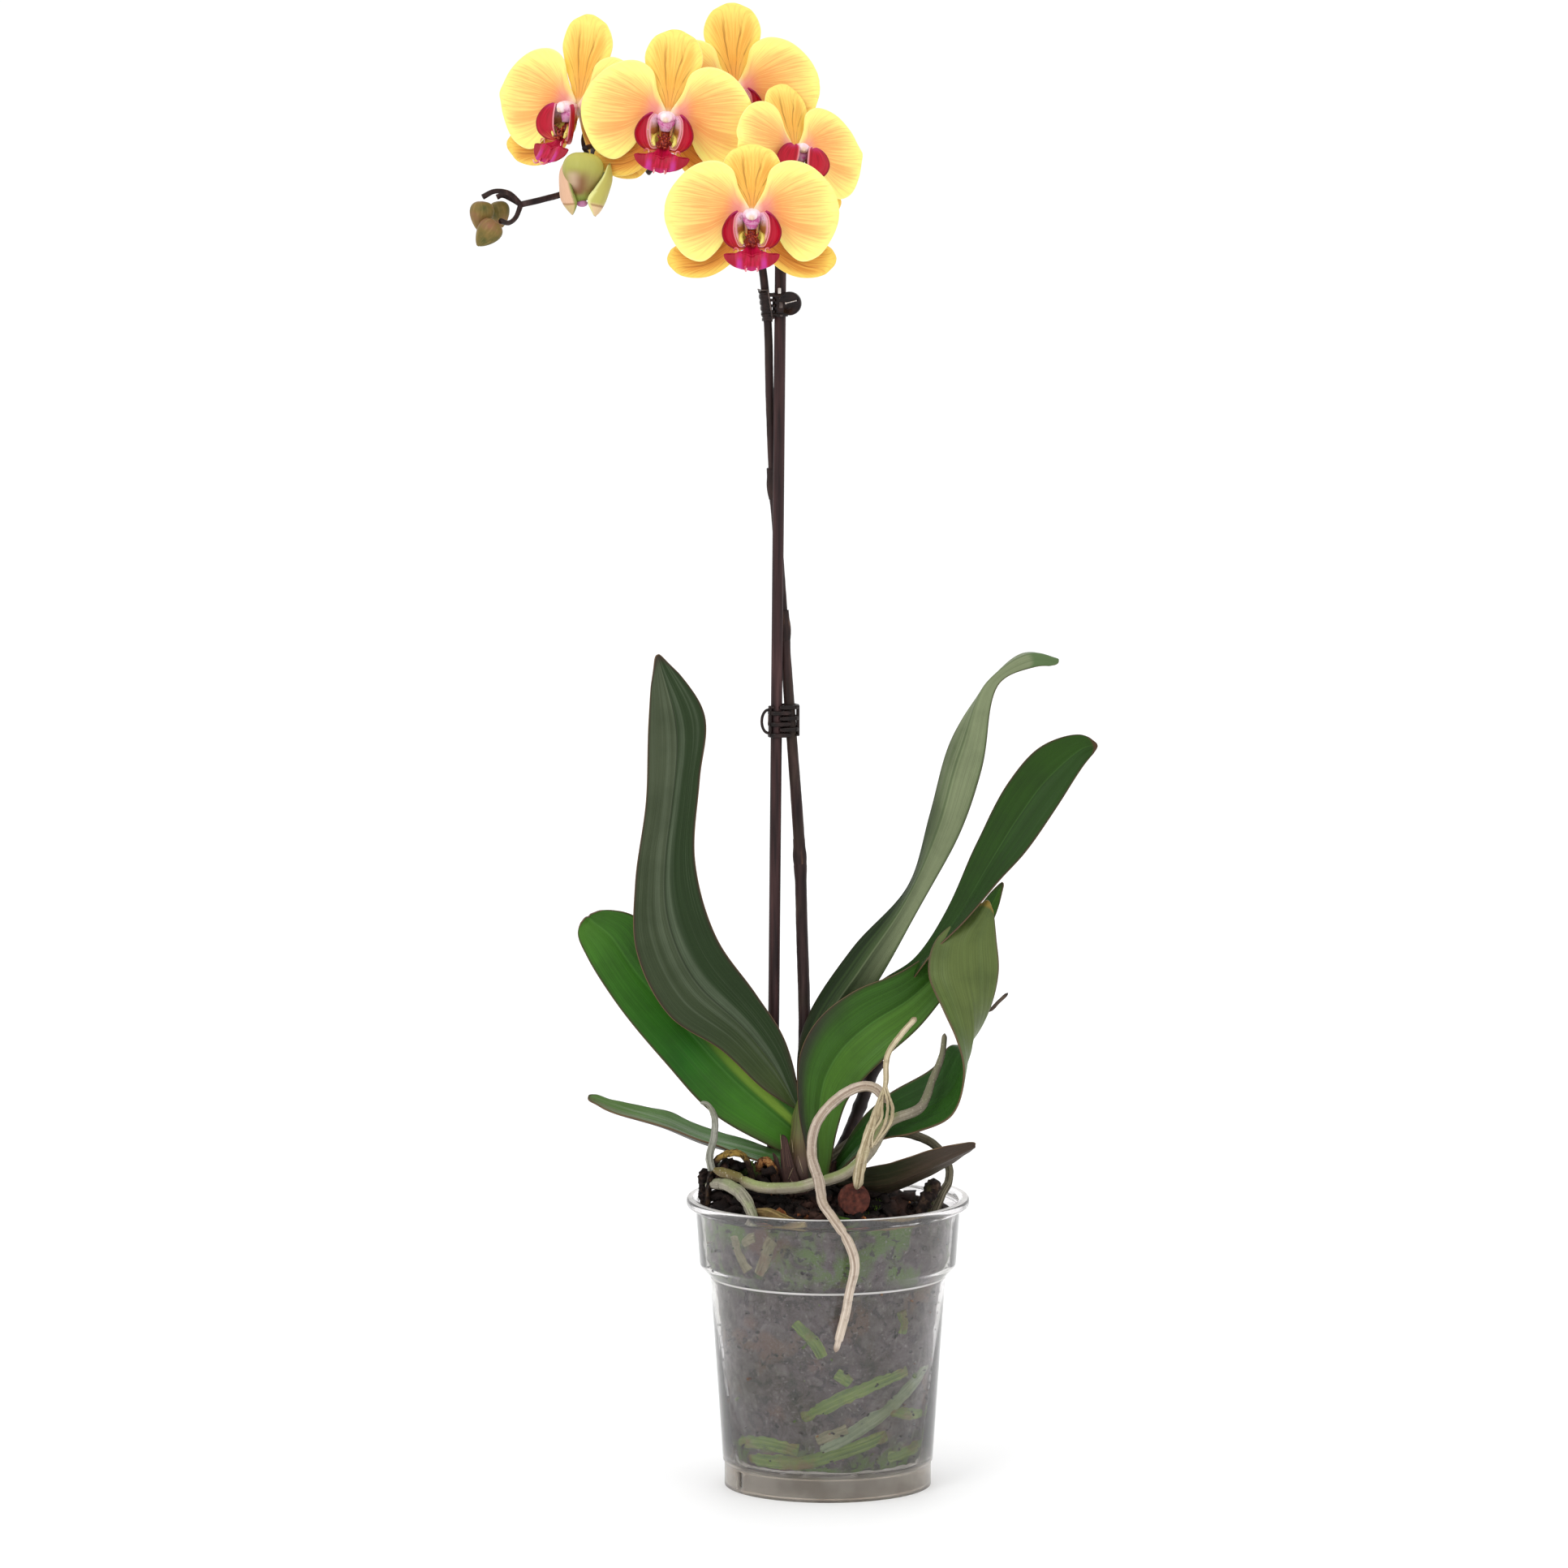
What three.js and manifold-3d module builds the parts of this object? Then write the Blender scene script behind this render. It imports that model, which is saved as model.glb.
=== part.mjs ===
// A moth orchid in flower, growing in bark in a clear plastic pot, with its stake and two clips.
// Millimetres, +Z up. The front of the plant faces -Y. While the pieces are made, X = Y = 0 is
// the axis of the pot and Z = 0 is the floor; the whole plant is moved once, at the end.

import * as THREE from 'three';
import { mergeVertices } from 'three/addons/utils/BufferGeometryUtils.js';
import Module from 'manifold-3d';

const wasm = await Module();
wasm.setup();

// Clearance kept between pieces that touch.
const GAP = 0.3;
const GOLDEN_ANGLE = Math.PI * (3 - Math.sqrt(5));

// The pot: a straight tapered cup on a foot ring, with a step up to a wider band under the rim.
const POT = {
  sides: 30,
  wall: 1.3,
  footRadius: 43.8,
  footHeight: 10.5,
  footBevel: 0.8,
  wallBottomRadius: 44.6,
  wallTopRadius: 50.2,
  wallTopZ: 90,
  ledgeRadius: 54.4,
  ledgeZ: 95,
  bandTopRadius: 56.1,
  bandTopZ: 119,
  rimRadius: 60,
  rimRise: 2.4,
  rimRound: 0.6,
  rimLip: 1.8,
  rimTopZ: 123.6,
};
// Slots through the foot ring, in degrees from the front, and round holes through the floor.
const DRAIN_SLOTS = { degrees: [-58, 122], wide: 3, high: 6.5, middleZ: 5.6 };
const DRAIN_HOLES = { count: 6, radius: 3.5, ring: 26, sides: 7 };
const DRAIN_CUT = 6;

// The bark fills the pot and heaps up round the stem.
const BARK = {
  heapZ: 126,
  edgeZ: 116,
  heapReach: 52,
  heapSlope: 1.3,
  heapSides: 13,
  // Height below the top of the mix, at each radius, of the body that the chips lie on.
  heapRings: [{ radius: 48.5, below: 6 }, { radius: 48, below: 1.5 }, { radius: 38, below: 3 },
    { radius: 26, below: 3 }, { radius: 10, below: 2 }],
  // Where the mix stands higher: across, towards the back, how wide and how high.
  mounds: [[-37, -10, 10, 10], [-24, -6, 8, 7], [6, -4, 9, 8], [26, -16, 8, 5]],
  sideSteps: 18,
  sideHeights: [36, 62, 88, 91, 97, 113],
  wallClearance: 1.2,
  sideRoughness: 1.6,
  chips: 18,
  chipSize: 10.5,
  chipReach: 45,
  chipTurn: 1.4,
  chipSink: 1.6,
};
// Section of a loose piece of bark, across and through it, as shares of its two half widths.
const BARK_SECTION = [[0.7, -0.8], [-0.2, -1], [-1, -0.3], [-0.6, 0.8], [0.35, 1], [1, 0.55]];

const STAKE = { radius: 2.4, foot: [-24.4, 13, 40], tip: [-20, 13, 522] };
const STAKE_SIDES = 12;
const CROWN_SIDES = 12;
const SPIKE_RADIUS = 2.5;
// Radius of the spike from its foot to its tip: thick up to the clip, then the finer rachis.
const SPIKE_RADII = [2.7, 2.6, 2.5, 2.3, 2, 1.85, 1.75, 1.6, 1.5, 1.35];
const SPIKE_SIDES = 6;
const SPIKE_STEPS = 32;
const NODE_LENGTH = 0.006;
const BRACT = { foot: 0.003, end: 0.02, flare: 1.22, sides: 7 };
const OLD_SPIKE_RADIUS = 2.9;
const PEDICEL_RADIUS = 1.2;
const LEAF_RIB = 1.9;
const LEAF_EDGE = 0.9;
const LEAF_ROWS = 11;
const LEAF_COLUMNS = 4;
// How quickly a blade falls away from its middle.
const BLADE_CURVE = 1.6;
const TEPAL_THICKNESS = 0.9;
const TEPAL_EDGE = 0.68;
const ROOT_SIDES = 6;
const ROOT_STEP = 8;

const COLOURS = {
  pot: 0xb9b4b2,
  bark: 0x2b1a12,
  barkLight: 0x7a4a24,
  leaf: 0x2f5a2a,
  leafUnder: 0x6f8262,
  sheath: 0x4d4a30,
  spike: 0x33242a,
  stake: 0x2c1f22,
  clip: 0x1d1512,
  tepal: 0xf6cf62,
  lip: 0xb3123a,
  column: 0xe9cdd2,
  bud: 0x9a9a5a,
  root: 0xa9a59a,
  rootGreen: 0x5f7a32,
  clay: 0x6b3a33,
};

// Each leaf is a blade between two margins, from the stem to the tip. keel is how far the rib
// stands out of the flat of the blade, as a share of its width, and rows how often the blade is
// split along its length where that isn't LEAF_ROWS.
const LEAVES = {
  leaf_left_tall: {
    keel: -0.16,
    margins: [
      [[-19, 2, 152], [-45, 0, 186], [-67, -3, 201], [-81, -5, 229], [-81.5, -4, 258], [-77, 0, 292],
        [-76, 4, 322], [-74, 8, 353]],
      [[-10, 0, 158], [-18, 1, 190], [-30, -1, 210], [-47, -3, 235], [-56, -4, 268], [-54, 0, 302],
        [-52, 5, 329], [-70, 9, 355]],
    ],
  },
  leaf_left_broad: {
    keel: -0.1,
    margins: [
      [[-17, 5, 140], [-48, 2, 158], [-69, 4, 180], [-89, 8, 204], [-102, 12, 224], [-106, 14, 234],
        [-104, 14, 240]],
      [[-10, 5, 150], [-31, 9, 186], [-52, 12, 210], [-71, 14, 229], [-81, 15, 241], [-93, 15, 244],
        [-99, 15, 243]],
    ],
  },
  leaf_left_low: {
    keel: -0.12,
    rows: 8,
    margins: [
      [[-12, 0, 131], [-36, -4, 142], [-52, -7, 148], [-70, -8, 155], [-92, -6, 161], [-102, 0, 165]],
      [[-12, 6, 140], [-38, 16, 146], [-52, 18, 150], [-67, 16, 157], [-88, 6, 163], [-101, 2, 168]],
    ],
  },
  leaf_right_tall: {
    keel: 0.2,
    margins: [
      [[-13, 5, 156], [-11, 9, 193], [10, 10, 228], [34, 10, 255], [43, 8, 286], [52, 6, 318],
        [64, 6, 337], [82, 4, 355], [97, 2, 352]],
      [[-7, 4, 152], [3, 5, 187], [21, 6, 214], [39, 4, 247], [56, 2, 279], [65, -2, 307],
        [72, 0, 342], [87, -4, 350], [97, -2, 350]],
    ],
  },
  leaf_right_front: {
    keel: -0.12,
    margins: [
      [[-12, -4, 148], [-11, -6, 185], [-4, -8, 201], [11, -9, 213], [31, -6, 221], [48, -1, 232],
        [62, 4, 245], [73, 8, 258]],
      [[-4, -6, 136], [3, -12, 158], [14, -15, 174], [25, -15, 186], [39, -10, 198], [55, -3, 218],
        [69, 3, 239], [75, 7, 256]],
    ],
  },
  leaf_right_far: {
    keel: -0.12,
    margins: [
      [[-8, 4, 154], [7, 8, 197], [21, 6, 214], [38, -2, 227], [50, -10, 248], [62, -14, 276],
        [75, -16, 302], [89, -16, 318], [105, -14, 323], [113, -12, 320]],
      [[-3, 2, 148], [14, 0, 184], [29, 2, 206], [43, -12, 228], [58, -20, 245], [73, -22, 263],
        [83, -22, 274], [95, -20, 291], [108, -17, 311], [114, -13, 317]],
    ],
  },
  leaf_right_curled: {
    keel: 0.14,
    margins: [
      [[-2, -4, 132], [20, -24, 151], [37, -31, 156], [52, -35, 164], [57, -36, 181], [54, -34, 196],
        [48, -28, 208], [42, -17, 222], [45, -13, 235], [58, -12, 246], [67, -12, 253]],
      [[-3, 0, 142], [10, -6, 160], [25, -10, 169], [44, -14, 181], [51, -12, 190], [58, -9, 190],
        [67, -10, 202], [72, -12, 221], [71, -13, 236], [70, -13, 245], [69, -13, 251]],
    ],
  },
  leaf_right_low: {
    keel: 0.08,
    rows: 8,
    margins: [
      [[0, -6, 135], [21, -30, 142], [33, -40, 147], [45, -46, 152], [62, -50, 156]],
      [[-1, -4, 127], [20, -16, 126], [36, -22, 133], [50, -32, 142], [62, -48, 153]],
    ],
  },
};

// The stem between the leaf bases: centre, half width across and half depth at each height.
const CROWN = [
  { centre: [-8, 0, 104], across: 6, deep: 5 },
  { centre: [-9, 0, 116], across: 9, deep: 7.5 },
  { centre: [-9, 0, 130], across: 10.5, deep: 8 },
  { centre: [-9, 0.5, 144], across: 8.5, deep: 7 },
  { centre: [-10, 1.5, 158], across: 5.5, deep: 5 },
  { centre: [-10, 2.5, 168], across: 2.6, deep: 2.6 },
];

// The flower spike climbs behind the stake, crosses it and arches over to the left.
const SPIKE = [
  [-9, 5, 150], [-10, 11, 176], [-10, 13, 200], [-11, 14, 234], [-12, 15, 269], [-14, 14.5, 321],
  [-16.5, 17, 358], [-20, 19.5, 392], [-23, 18.6, 424], [-24.6, 16, 462], [-25.4, 14.2, 493],
  [-27.2, 15, 513], [-30, 18, 530], [-33, 22, 549], [-40, 26, 566], [-51, 27, 577], [-66, 27, 578],
  [-80, 25, 569], [-95, 20, 557], [-109, 15, 549], [-120, 11, 546], [-129, 10, 544],
];

// Where along the spike, from 0 at the stem to 1 at the tip, the nodes stand, and their size.
const SPIKE_NODES = [
  { along: 0.23, swell: 1.16 },
  { along: 0.4, swell: 1.18 },
  { along: 0.515, swell: 1.15 },
];

const OLD_SPIKE = [[-3, 4, 130], [7, 12, 144], [14, 18, 160], [20, 22, 175], [23, 23, 178]];

// Blooms: centre, and how far each is turned to its right, lifted and leaned, in degrees.
// hood and spread scale the reach of the upper sepal and of the lower pair. stalk is where the
// pedicel leaves the spike, along the spike, and via a point it passes on its way.
const BLOOMS = {
  bloom_1: {
    centre: [-32, -36, 545], turn: 0, lift: 6, lean: 0, size: 1,
    hood: 0.79, spread: 1, stalk: 0.71, via: [-31, -3, 531],
  },
  bloom_2: {
    centre: [-14, -5, 567.5], turn: 43, lift: 21, lean: -9, size: 0.94,
    hood: 0.9, spread: 0.75, stalk: 0.755, via: [-27, 15, 556],
  },
  bloom_3: {
    centre: [-39.5, 18.5, 592], turn: 0, lift: 4, lean: 2, size: 0.99,
    hood: 1.02, spread: 0.9, stalk: 0.8, via: [-40, 31, 580],
  },
  bloom_4: {
    centre: [-67, -6, 583], turn: -4, lift: 6, lean: -5, size: 1,
    hood: 1, spread: 0.84, stalk: 0.88, via: [-75, 4, 558],
  },
  bloom_5: {
    centre: [-105, 19, 585], turn: -33, lift: 5, lean: -4, size: 1.03,
    hood: 1.04, spread: 1, stalk: 0.93, via: [-103, 26, 569],
  },
};

// Tepals in the bloom's own frame: +X to the right as seen, +Y up, +Z towards the viewer.
// Each has two margins from the centre to the tip, and crown is how far its middle bulges.
const PETAL = {
  crown: 1.6,
  rows: 6,
  columns: 3,
  margins: [
    [[0.8, 1, 0.2], [5.5, 10, 1], [8, 18, 1.6], [15, 21.6, 1.8], [24.5, 19.3, 2.2], [32.5, 11.5, 2.6],
      [36.3, 3, 2.6]],
    [[1, -2, 0.2], [9.5, -8, 1], [14, -15.5, 1], [20.5, -20.6, 1], [28, -18.2, 1.6],
      [34, -9.5, 2.2], [36.5, -1, 2.6]],
  ],
};
const DORSAL_SEPAL = {
  crown: 1.2,
  rows: 5,
  columns: 2,
  margins: [
    [[-2.6, -1, -1.4], [-5.4, 7, -1.6], [-9.6, 15, -2], [-12.3, 23.5, -2.4], [-9.4, 31, -2.6],
      [-3, 35.8, -2.6]],
    [[2.6, -1, -1.4], [5.4, 7, -1.6], [9.6, 15, -2], [12.3, 23.5, -2.4], [9.4, 31, -2.6],
      [3, 35.8, -2.6]],
  ],
};
const LATERAL_SEPAL = {
  crown: 1.2,
  rows: 5,
  columns: 2,
  margins: [
    [[1.6, -0.6, -1.6], [12, -8.5, -2.4], [23, -12.5, -3.2], [31, -14, -4], [35, -18, -4.4]],
    [[-0.6, -3, -1.6], [6.5, -19, -2.4], [17, -26.5, -3.2], [28, -26.5, -4], [34.2, -22.5, -4.4]],
  ],
};
const HUB = { radius: 3.4, backRadius: 1.5, sides: 8, drop: 1, front: 1.2, back: -7 };

// The lip: side lobes that stand up round the column, a callus between them, and a middle lobe
// with two curled tails.
const SIDE_LOBE = {
  crown: 1.4,
  margins: [
    [[0.8, -12.6, 6], [7.6, -15.4, 9], [11.7, -11.6, 11.6], [11.9, -6, 12.2], [8.4, -1, 10.4]],
    [[0.6, -8.8, 5.4], [4, -10, 5.2], [5.4, -7.4, 5.4], [5.8, -4.6, 6], [6.2, -2, 7.6]],
  ],
};
const MID_LOBE = {
  crown: 1.2,
  margins: [
    [[-2.2, -11.5, 6], [-2.8, -15, 9], [-7, -17.2, 12], [-12.4, -17.8, 13.5], [-5.8, -23.8, 15.5]],
    [[2.2, -11.5, 6], [2.8, -15, 9], [7, -17.2, 12], [12.4, -17.8, 13.5], [5.8, -23.8, 15.5]],
  ],
};
const LIP_BLADE = { rib: 1, edge: 0.7, rows: 4, columns: 2 };
const CALLUS = { radius: 2.7, stretch: [1.25, 0.9, 0.8], centre: [0, -10.2, 7.2] };
const CIRRUS = [[3.4, -21, 14.2], [5.2, -24.4, 16.4], [7.2, -24.2, 18.6], [7.4, -22, 19]];
const CIRRUS_RADII = [0.75, 0.45];
const CLAW = [[0, -5.4, 3.4], [0, -8.4, 4.6], [0, -12, 6.6]];
const CLAW_RADIUS = 1.9;
const COLUMN = [[0, -1.8, 2.9], [0, -1.6, 5.5], [0, -2.4, 8.6], [0, -3.6, 10.6]];
const COLUMN_RADII = [2.2, 2.3, 2.9, 2.6, 1.6];

// Buds: where the stalk leaves the spike tip, where the bud hangs, and its size.
const BUDS = {
  bud_opening: { top: [-102.2, -7, 567.4], bottom: [-103.6, -10.4, 545], radius: 9.4, sides: 8 },
  bud_small_1: { top: [-145, 3, 546], bottom: [-146, 3, 533], radius: 5.2, sides: 6 },
  bud_small_2: { top: [-139, 13, 545], bottom: [-137, 14, 534], radius: 4.4, sides: 6 },
  bud_small_3: { top: [-139, -3, 538], bottom: [-147, -4, 528], radius: 5.4, sides: 6 },
};
// Girth of a bud from its top to its tip, as a share of its radius, with three soft ridges.
const BUD_PROFILE = [0.22, 0.62, 0.9, 1, 0.93, 0.72, 0.4, 0.16];
const BUD_RIDGE = 0.06;
const BUD_DEPTH = 0.85;
// The opening bud shows its sepal tips: a flap at each side and one behind.
const BUD_FLAPS = [
  [[-107, -10, 557], [-108.4, -12, 549], [-107.2, -12, 542.6]],
  [[-95.6, -10, 557], [-97.4, -12, 549], [-98, -11.6, 541.8]],
  [[-102, -4, 557], [-103, -3, 549], [-103, -4, 544]],
];
const BUD_FLAP_RADII = [4.6, 0.6];
const BUD_STALKS = {
  bud_opening: [[-101, 18, 553.5], [-99.3, 9, 562.5], [-98.8, 1, 569], [-102, -6.2, 569]],
  bud_small_1: [[-129, 10, 544], [-134, 8, 549], [-140, 5, 550], [-144.8, 3.2, 547.8]],
  bud_small_2: [[-129, 10, 544], [-133, 12, 546], [-137, 13, 547.6], [-139.2, 13, 546.8]],
  bud_small_3: [[-129, 10, 544], [-131, 7, 539], [-134, 2, 537], [-137.2, -2, 538.2]],
};

// Roots above the bark: a route, and a radius that may change along it.
const ROOTS = {
  root_hanging_front: {
    radii: [2.3, 2.3, 2.2, 2.4, 2.1, 2.2, 2, 1.9],
    route: [[25, -28, 168], [20, -26, 174], [14, -26, 175], [3, -26, 169], [-5, -27, 159],
      [-7, -29, 147], [-4, -40, 137], [-2, -56, 129.5], [2, -63.2, 125], [8, -65, 116],
      [11, -63.5, 106], [9, -60.5, 94], [7, -58, 83], [3, -57, 67]],
  },
  root_shrivelled: {
    radii: [2.4, 2.9, 2.7, 3.2, 1.7, 1.6, 2.2, 2.4],
    route: [[12, -32.4, 132], [14, -33.4, 145], [19, -33, 155], [22, -33, 165], [24, -32, 176],
      [25, -31, 189], [31, -30, 198], [37, -30, 205]],
  },
  root_long_front: {
    radii: [2.2, 2.5, 2.6, 2.6, 2.6, 2.5, 2.2, 1.6],
    route: [[-49, -16, 138], [-45, -18, 137], [-38, -20, 135], [-33, -22, 132.5], [-26, -23, 131],
      [-12, -20, 131], [-6, -20, 132.5], [7, -22, 137], [17, -24, 146], [25, -25, 159],
      [39, -30, 167], [44, -25, 178], [48, -23, 188], [49, -22, 197]],
  },
  root_left_rim: {
    radii: [2, 2.7, 2.8, 2.4],
    route: [[-51, -8, 129.5], [-45, -18, 132], [-39, -26, 131], [-34, -36, 127], [-31, -39, 119]],
  },
  root_left_upright: {
    radii: [0.9, 1.5, 1.7, 1.8],
    route: [[-54, -14, 166], [-51, -14, 165.5], [-48, -14, 160], [-48, -14, 152], [-50, -15, 143],
      [-49, -16, 137]],
  },
  root_right_back: {
    radii: [2, 2.3, 2, 1.8, 2.2],
    route: [[-4, 4, 136], [12, 10, 146], [24, 10, 149], [34, 8, 149], [45, 4, 145], [51, -2, 137],
      [51, -6, 131], [48, -10, 126], [44, -14, 117]],
  },
  root_front_sunk: {
    radii: [2, 2.4, 2.2, 1.8],
    route: [[-31, -32, 122], [-25, -39, 123], [-19, -44, 121.5], [-9, -48, 118]],
  },
  root_front_right: {
    radii: [1.6, 1.8, 1.8, 1.5],
    route: [[16, -48, 115.5], [24, -45, 117.2], [33, -38, 117.2], [41, -30, 115.5]],
  },
  root_dry: {
    radii: [1.5, 1.4, 1.2, 1, 0.8],
    route: [[-7, 5, 150], [10, 13, 184], [31, 13, 204], [48, 8, 209], [60, 0, 206], [68, -4, 204],
      [72, -7, 208], [76, -8, 212]],
  },
};

// Roots seen through the wall: angle round the pot from the front, to the right, and height.
const WALL_ROOTS = {
  wall_root_1: { radius: 2.3, route: [[-18, 77.6], [-13, 73.6], [-7, 68.8], [-3, 62.6]] },
  wall_root_2: { radius: 2.7, route: [[-16, 35.8], [4, 43.5], [25, 50.2], [48, 54.8]] },
  wall_root_3: { radius: 2.7, route: [[9, 28.2], [20, 32.5], [35, 38.8], [56, 49.2], [87, 57.8]] },
  wall_root_4: { radius: 2.5, route: [[-66, 17.6], [-40, 17.2], [-14, 17.6], [4, 20], [21, 22.6]] },
  wall_root_5: { radius: 2.4, route: [[-48, 112], [-45, 105.4], [-40, 98.4]] },
  wall_root_6: { radius: 2.4, route: [[-26, 112], [-28, 109], [-31, 103], [-34, 98.4]] },
};
const WALL_ROOT_CLEARANCE = 0.75;
const WALL_ROOT_TAPER = 0.75;

// Loose pieces of bark that stand out of the mix, each a bent slab along a short route.
const BARK_PIECES = {
  bark_arch: {
    broad: 4.2,
    thick: 1.6,
    route: [[-51, -10, 119], [-50, -11, 132], [-47, -12, 141], [-42, -12, 144], [-36, -12, 143],
      [-32, -11, 133], [-31, -10, 121]],
  },
  bark_orange: {
    broad: 3.6,
    thick: 2,
    route: [[-31, -4, 121], [-29.5, -4, 133], [-28, -4, 139], [-25, -5, 139], [-22, -8, 131],
      [-20, -11, 121]],
  },
  bark_black: {
    broad: 5,
    thick: 3.6,
    route: [[39, -22, 112], [40, -22, 122], [43, -21, 129], [46, -21, 134]],
  },
  bark_left: {
    broad: 4.6,
    thick: 2.2,
    route: [[-50.8, 0, 113], [-52.4, 1, 122], [-53, 2, 130], [-52, 3, 135]],
  },
};
const CLAY_DISC = {
  centre: [11, -28, 127], radius: 6.9, backShare: 0.94, thickness: 4.2, sides: 16, tilt: 0.12,
};

// Clips: a claw of stacked fingers round the stake and the spike, and a finger tab at one side.
const CLIPS = {
  clip_lower: { z: 324.8, fingers: 6, fingerHeight: 2.3, tab: 'loop' },
  clip_upper: { z: 502.2, fingers: 4, fingerHeight: 2.7, tab: 'disc' },
};
const CLIP_WALL = 1.5;
const FINGER_GAP = 0.3;
// A finger is open past this share of the way to the second rod.
const FINGER_OPENING = 0.5;
const LOOP_TAB = { thickness: 2.4, root: 0.6, bend: -1, trim: 1.4, holeAt: -2.4, holeTrim: 4.4 };
const DISC_TAB = { radius: 5.3, thickness: 2.6, sides: 14, offset: 1, slit: [6, 4, 0.9], slitAt: 4 };

// Small numbers that are drawn at random come from here, always in the same order.
function seededRandom(seed) {
  let state = seed;
  return () => {
    state = (state * 1664525 + 1013904223) % 4294967296;
    return state / 4294967296;
  };
}

function vector(triple) {
  return new THREE.Vector3(triple[0], triple[1], triple[2]);
}

function curveThrough(triples) {
  return new THREE.CatmullRomCurve3(triples.map(vector), false, 'centripetal');
}

// The value of a list at t from 0 to 1, straight between its members.
function alongList(values, t) {
  const place = t * (values.length - 1);
  const index = Math.min(Math.floor(place), values.length - 2);
  return THREE.MathUtils.lerp(values[index], values[index + 1], place - index);
}

function solidFrom(points, triangles) {
  const vertProperties = new Float32Array(points.flatMap((point) => point.toArray()));
  const triVerts = new Uint32Array(triangles);
  return new wasm.Manifold(new wasm.Mesh({ numProp: 3, vertProperties, triVerts }));
}

// A three.js geometry as a solid, with its shared corners merged.
function solidFromGeometry(geometry) {
  geometry.deleteAttribute('normal');
  geometry.deleteAttribute('uv');
  const merged = mergeVertices(geometry, 1e-4);
  const vertProperties = new Float32Array(merged.attributes.position.array);
  const triVerts = new Uint32Array(merged.index.array);
  return new wasm.Manifold(new wasm.Mesh({ numProp: 3, vertProperties, triVerts }));
}

function geometryFromSolid(solid) {
  const mesh = solid.getMesh();
  const geometry = new THREE.BufferGeometry();
  const positions = new Float32Array(mesh.numVert * 3);
  for (let vertex = 0; vertex < mesh.numVert; vertex += 1) {
    for (let axis = 0; axis < 3; axis += 1) {
      positions[vertex * 3 + axis] = mesh.vertProperties[vertex * mesh.numProp + axis];
    }
  }
  geometry.setAttribute('position', new THREE.BufferAttribute(positions, 3));
  geometry.setIndex(new THREE.BufferAttribute(new Uint32Array(mesh.triVerts), 1));
  geometry.computeVertexNormals();
  return geometry;
}

function fuse(solids) {
  return solids.reduce((whole, solid) => whole.add(solid));
}

// What is left of a solid once its neighbours are cut out of it, without loose scraps.
function cutBy(solid, neighbours) {
  const left = neighbours.reduce((rest, neighbour) => rest.subtract(neighbour), solid);
  const parts = left.decompose();
  return parts.reduce((best, part) => (part.volume() > best.volume() ? part : best));
}

// A closed skin over rings of points that all have the same number of members.
function loft(rings) {
  const count = rings[0].length;
  const points = rings.flat();
  const triangles = [];
  for (let ring = 0; ring < rings.length - 1; ring += 1) {
    for (let side = 0; side < count; side += 1) {
      const next = (side + 1) % count;
      const a = ring * count + side;
      const b = ring * count + next;
      triangles.push(a, b, b + count, a, b + count, a + count);
    }
  }
  for (let side = 1; side < count - 1; side += 1) {
    const last = (rings.length - 1) * count;
    triangles.push(0, side + 1, side, last, last + side, last + side + 1);
  }
  return solidFrom(points, triangles);
}

// A round rod along a route. radiusAt gives the radius for t from 0 to 1.
function rod(curve, radiusAt, sides, steps) {
  const frames = curve.computeFrenetFrames(steps, false);
  const rings = [];
  for (let step = 0; step <= steps; step += 1) {
    const t = step / steps;
    const centre = curve.getPointAt(t);
    const radius = radiusAt(t);
    const ring = [];
    for (let side = 0; side < sides; side += 1) {
      const angle = (side / sides) * Math.PI * 2;
      const point = centre.clone();
      point.addScaledVector(frames.normals[step], Math.cos(angle) * radius);
      point.addScaledVector(frames.binormals[step], Math.sin(angle) * radius);
      ring.push(point);
    }
    rings.push(ring);
  }
  return loft(rings);
}

// A blade between two margins. Its two faces are split into triangles the same way, so that
// they stay apart where the blade bends.
function blade({ margins, bulge, rib, edge, rows, columns, grow = 0 }) {
  const [leftCurve, rightCurve] = margins.map(curveThrough);
  const top = [];
  const bottom = [];
  for (let row = 0; row <= rows; row += 1) {
    const t = row / rows;
    const left = leftCurve.getPoint(t);
    const right = rightCurve.getPoint(t);
    const across = right.clone().sub(left);
    const width = across.length();
    const along = leftCurve.getTangent(t).add(rightCurve.getTangent(t));
    const normal = across.clone().cross(along).normalize();
    const middle = left.clone().add(right).multiplyScalar(0.5);
    across.normalize();
    for (let column = 0; column <= columns; column += 1) {
      const side = (column / columns) * 2 - 1;
      const lift = bulge(width) * (1 - Math.abs(side) ** BLADE_CURVE);
      const half = (THREE.MathUtils.lerp(rib, edge, Math.abs(side)) + grow * 2) / 2;
      const point = middle.clone().addScaledVector(across, side * (width / 2 + grow));
      point.addScaledVector(normal, lift);
      top.push(point.clone().addScaledVector(normal, half));
      bottom.push(point.clone().addScaledVector(normal, -half));
    }
  }
  return bladeSkin(top, bottom, rows, columns);
}

function bladeSkin(top, bottom, rows, columns) {
  const across = columns + 1;
  const under = top.length;
  const triangles = [];
  const wall = (a, b) => triangles.push(a, b, b + under, a, b + under, a + under);
  for (let row = 0; row < rows; row += 1) {
    for (let column = 0; column < columns; column += 1) {
      const a = row * across + column;
      const b = a + across;
      triangles.push(a, a + 1, b + 1, a, b + 1, b);
      triangles.push(under + a, under + b + 1, under + a + 1, under + a, under + b, under + b + 1);
    }
    wall(row * across, (row + 1) * across);
    wall((row + 1) * across + columns, row * across + columns);
  }
  for (let column = 0; column < columns; column += 1) {
    wall(column + 1, column);
    wall(rows * across + column, rows * across + column + 1);
  }
  return solidFrom([...top, ...bottom], triangles);
}

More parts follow.
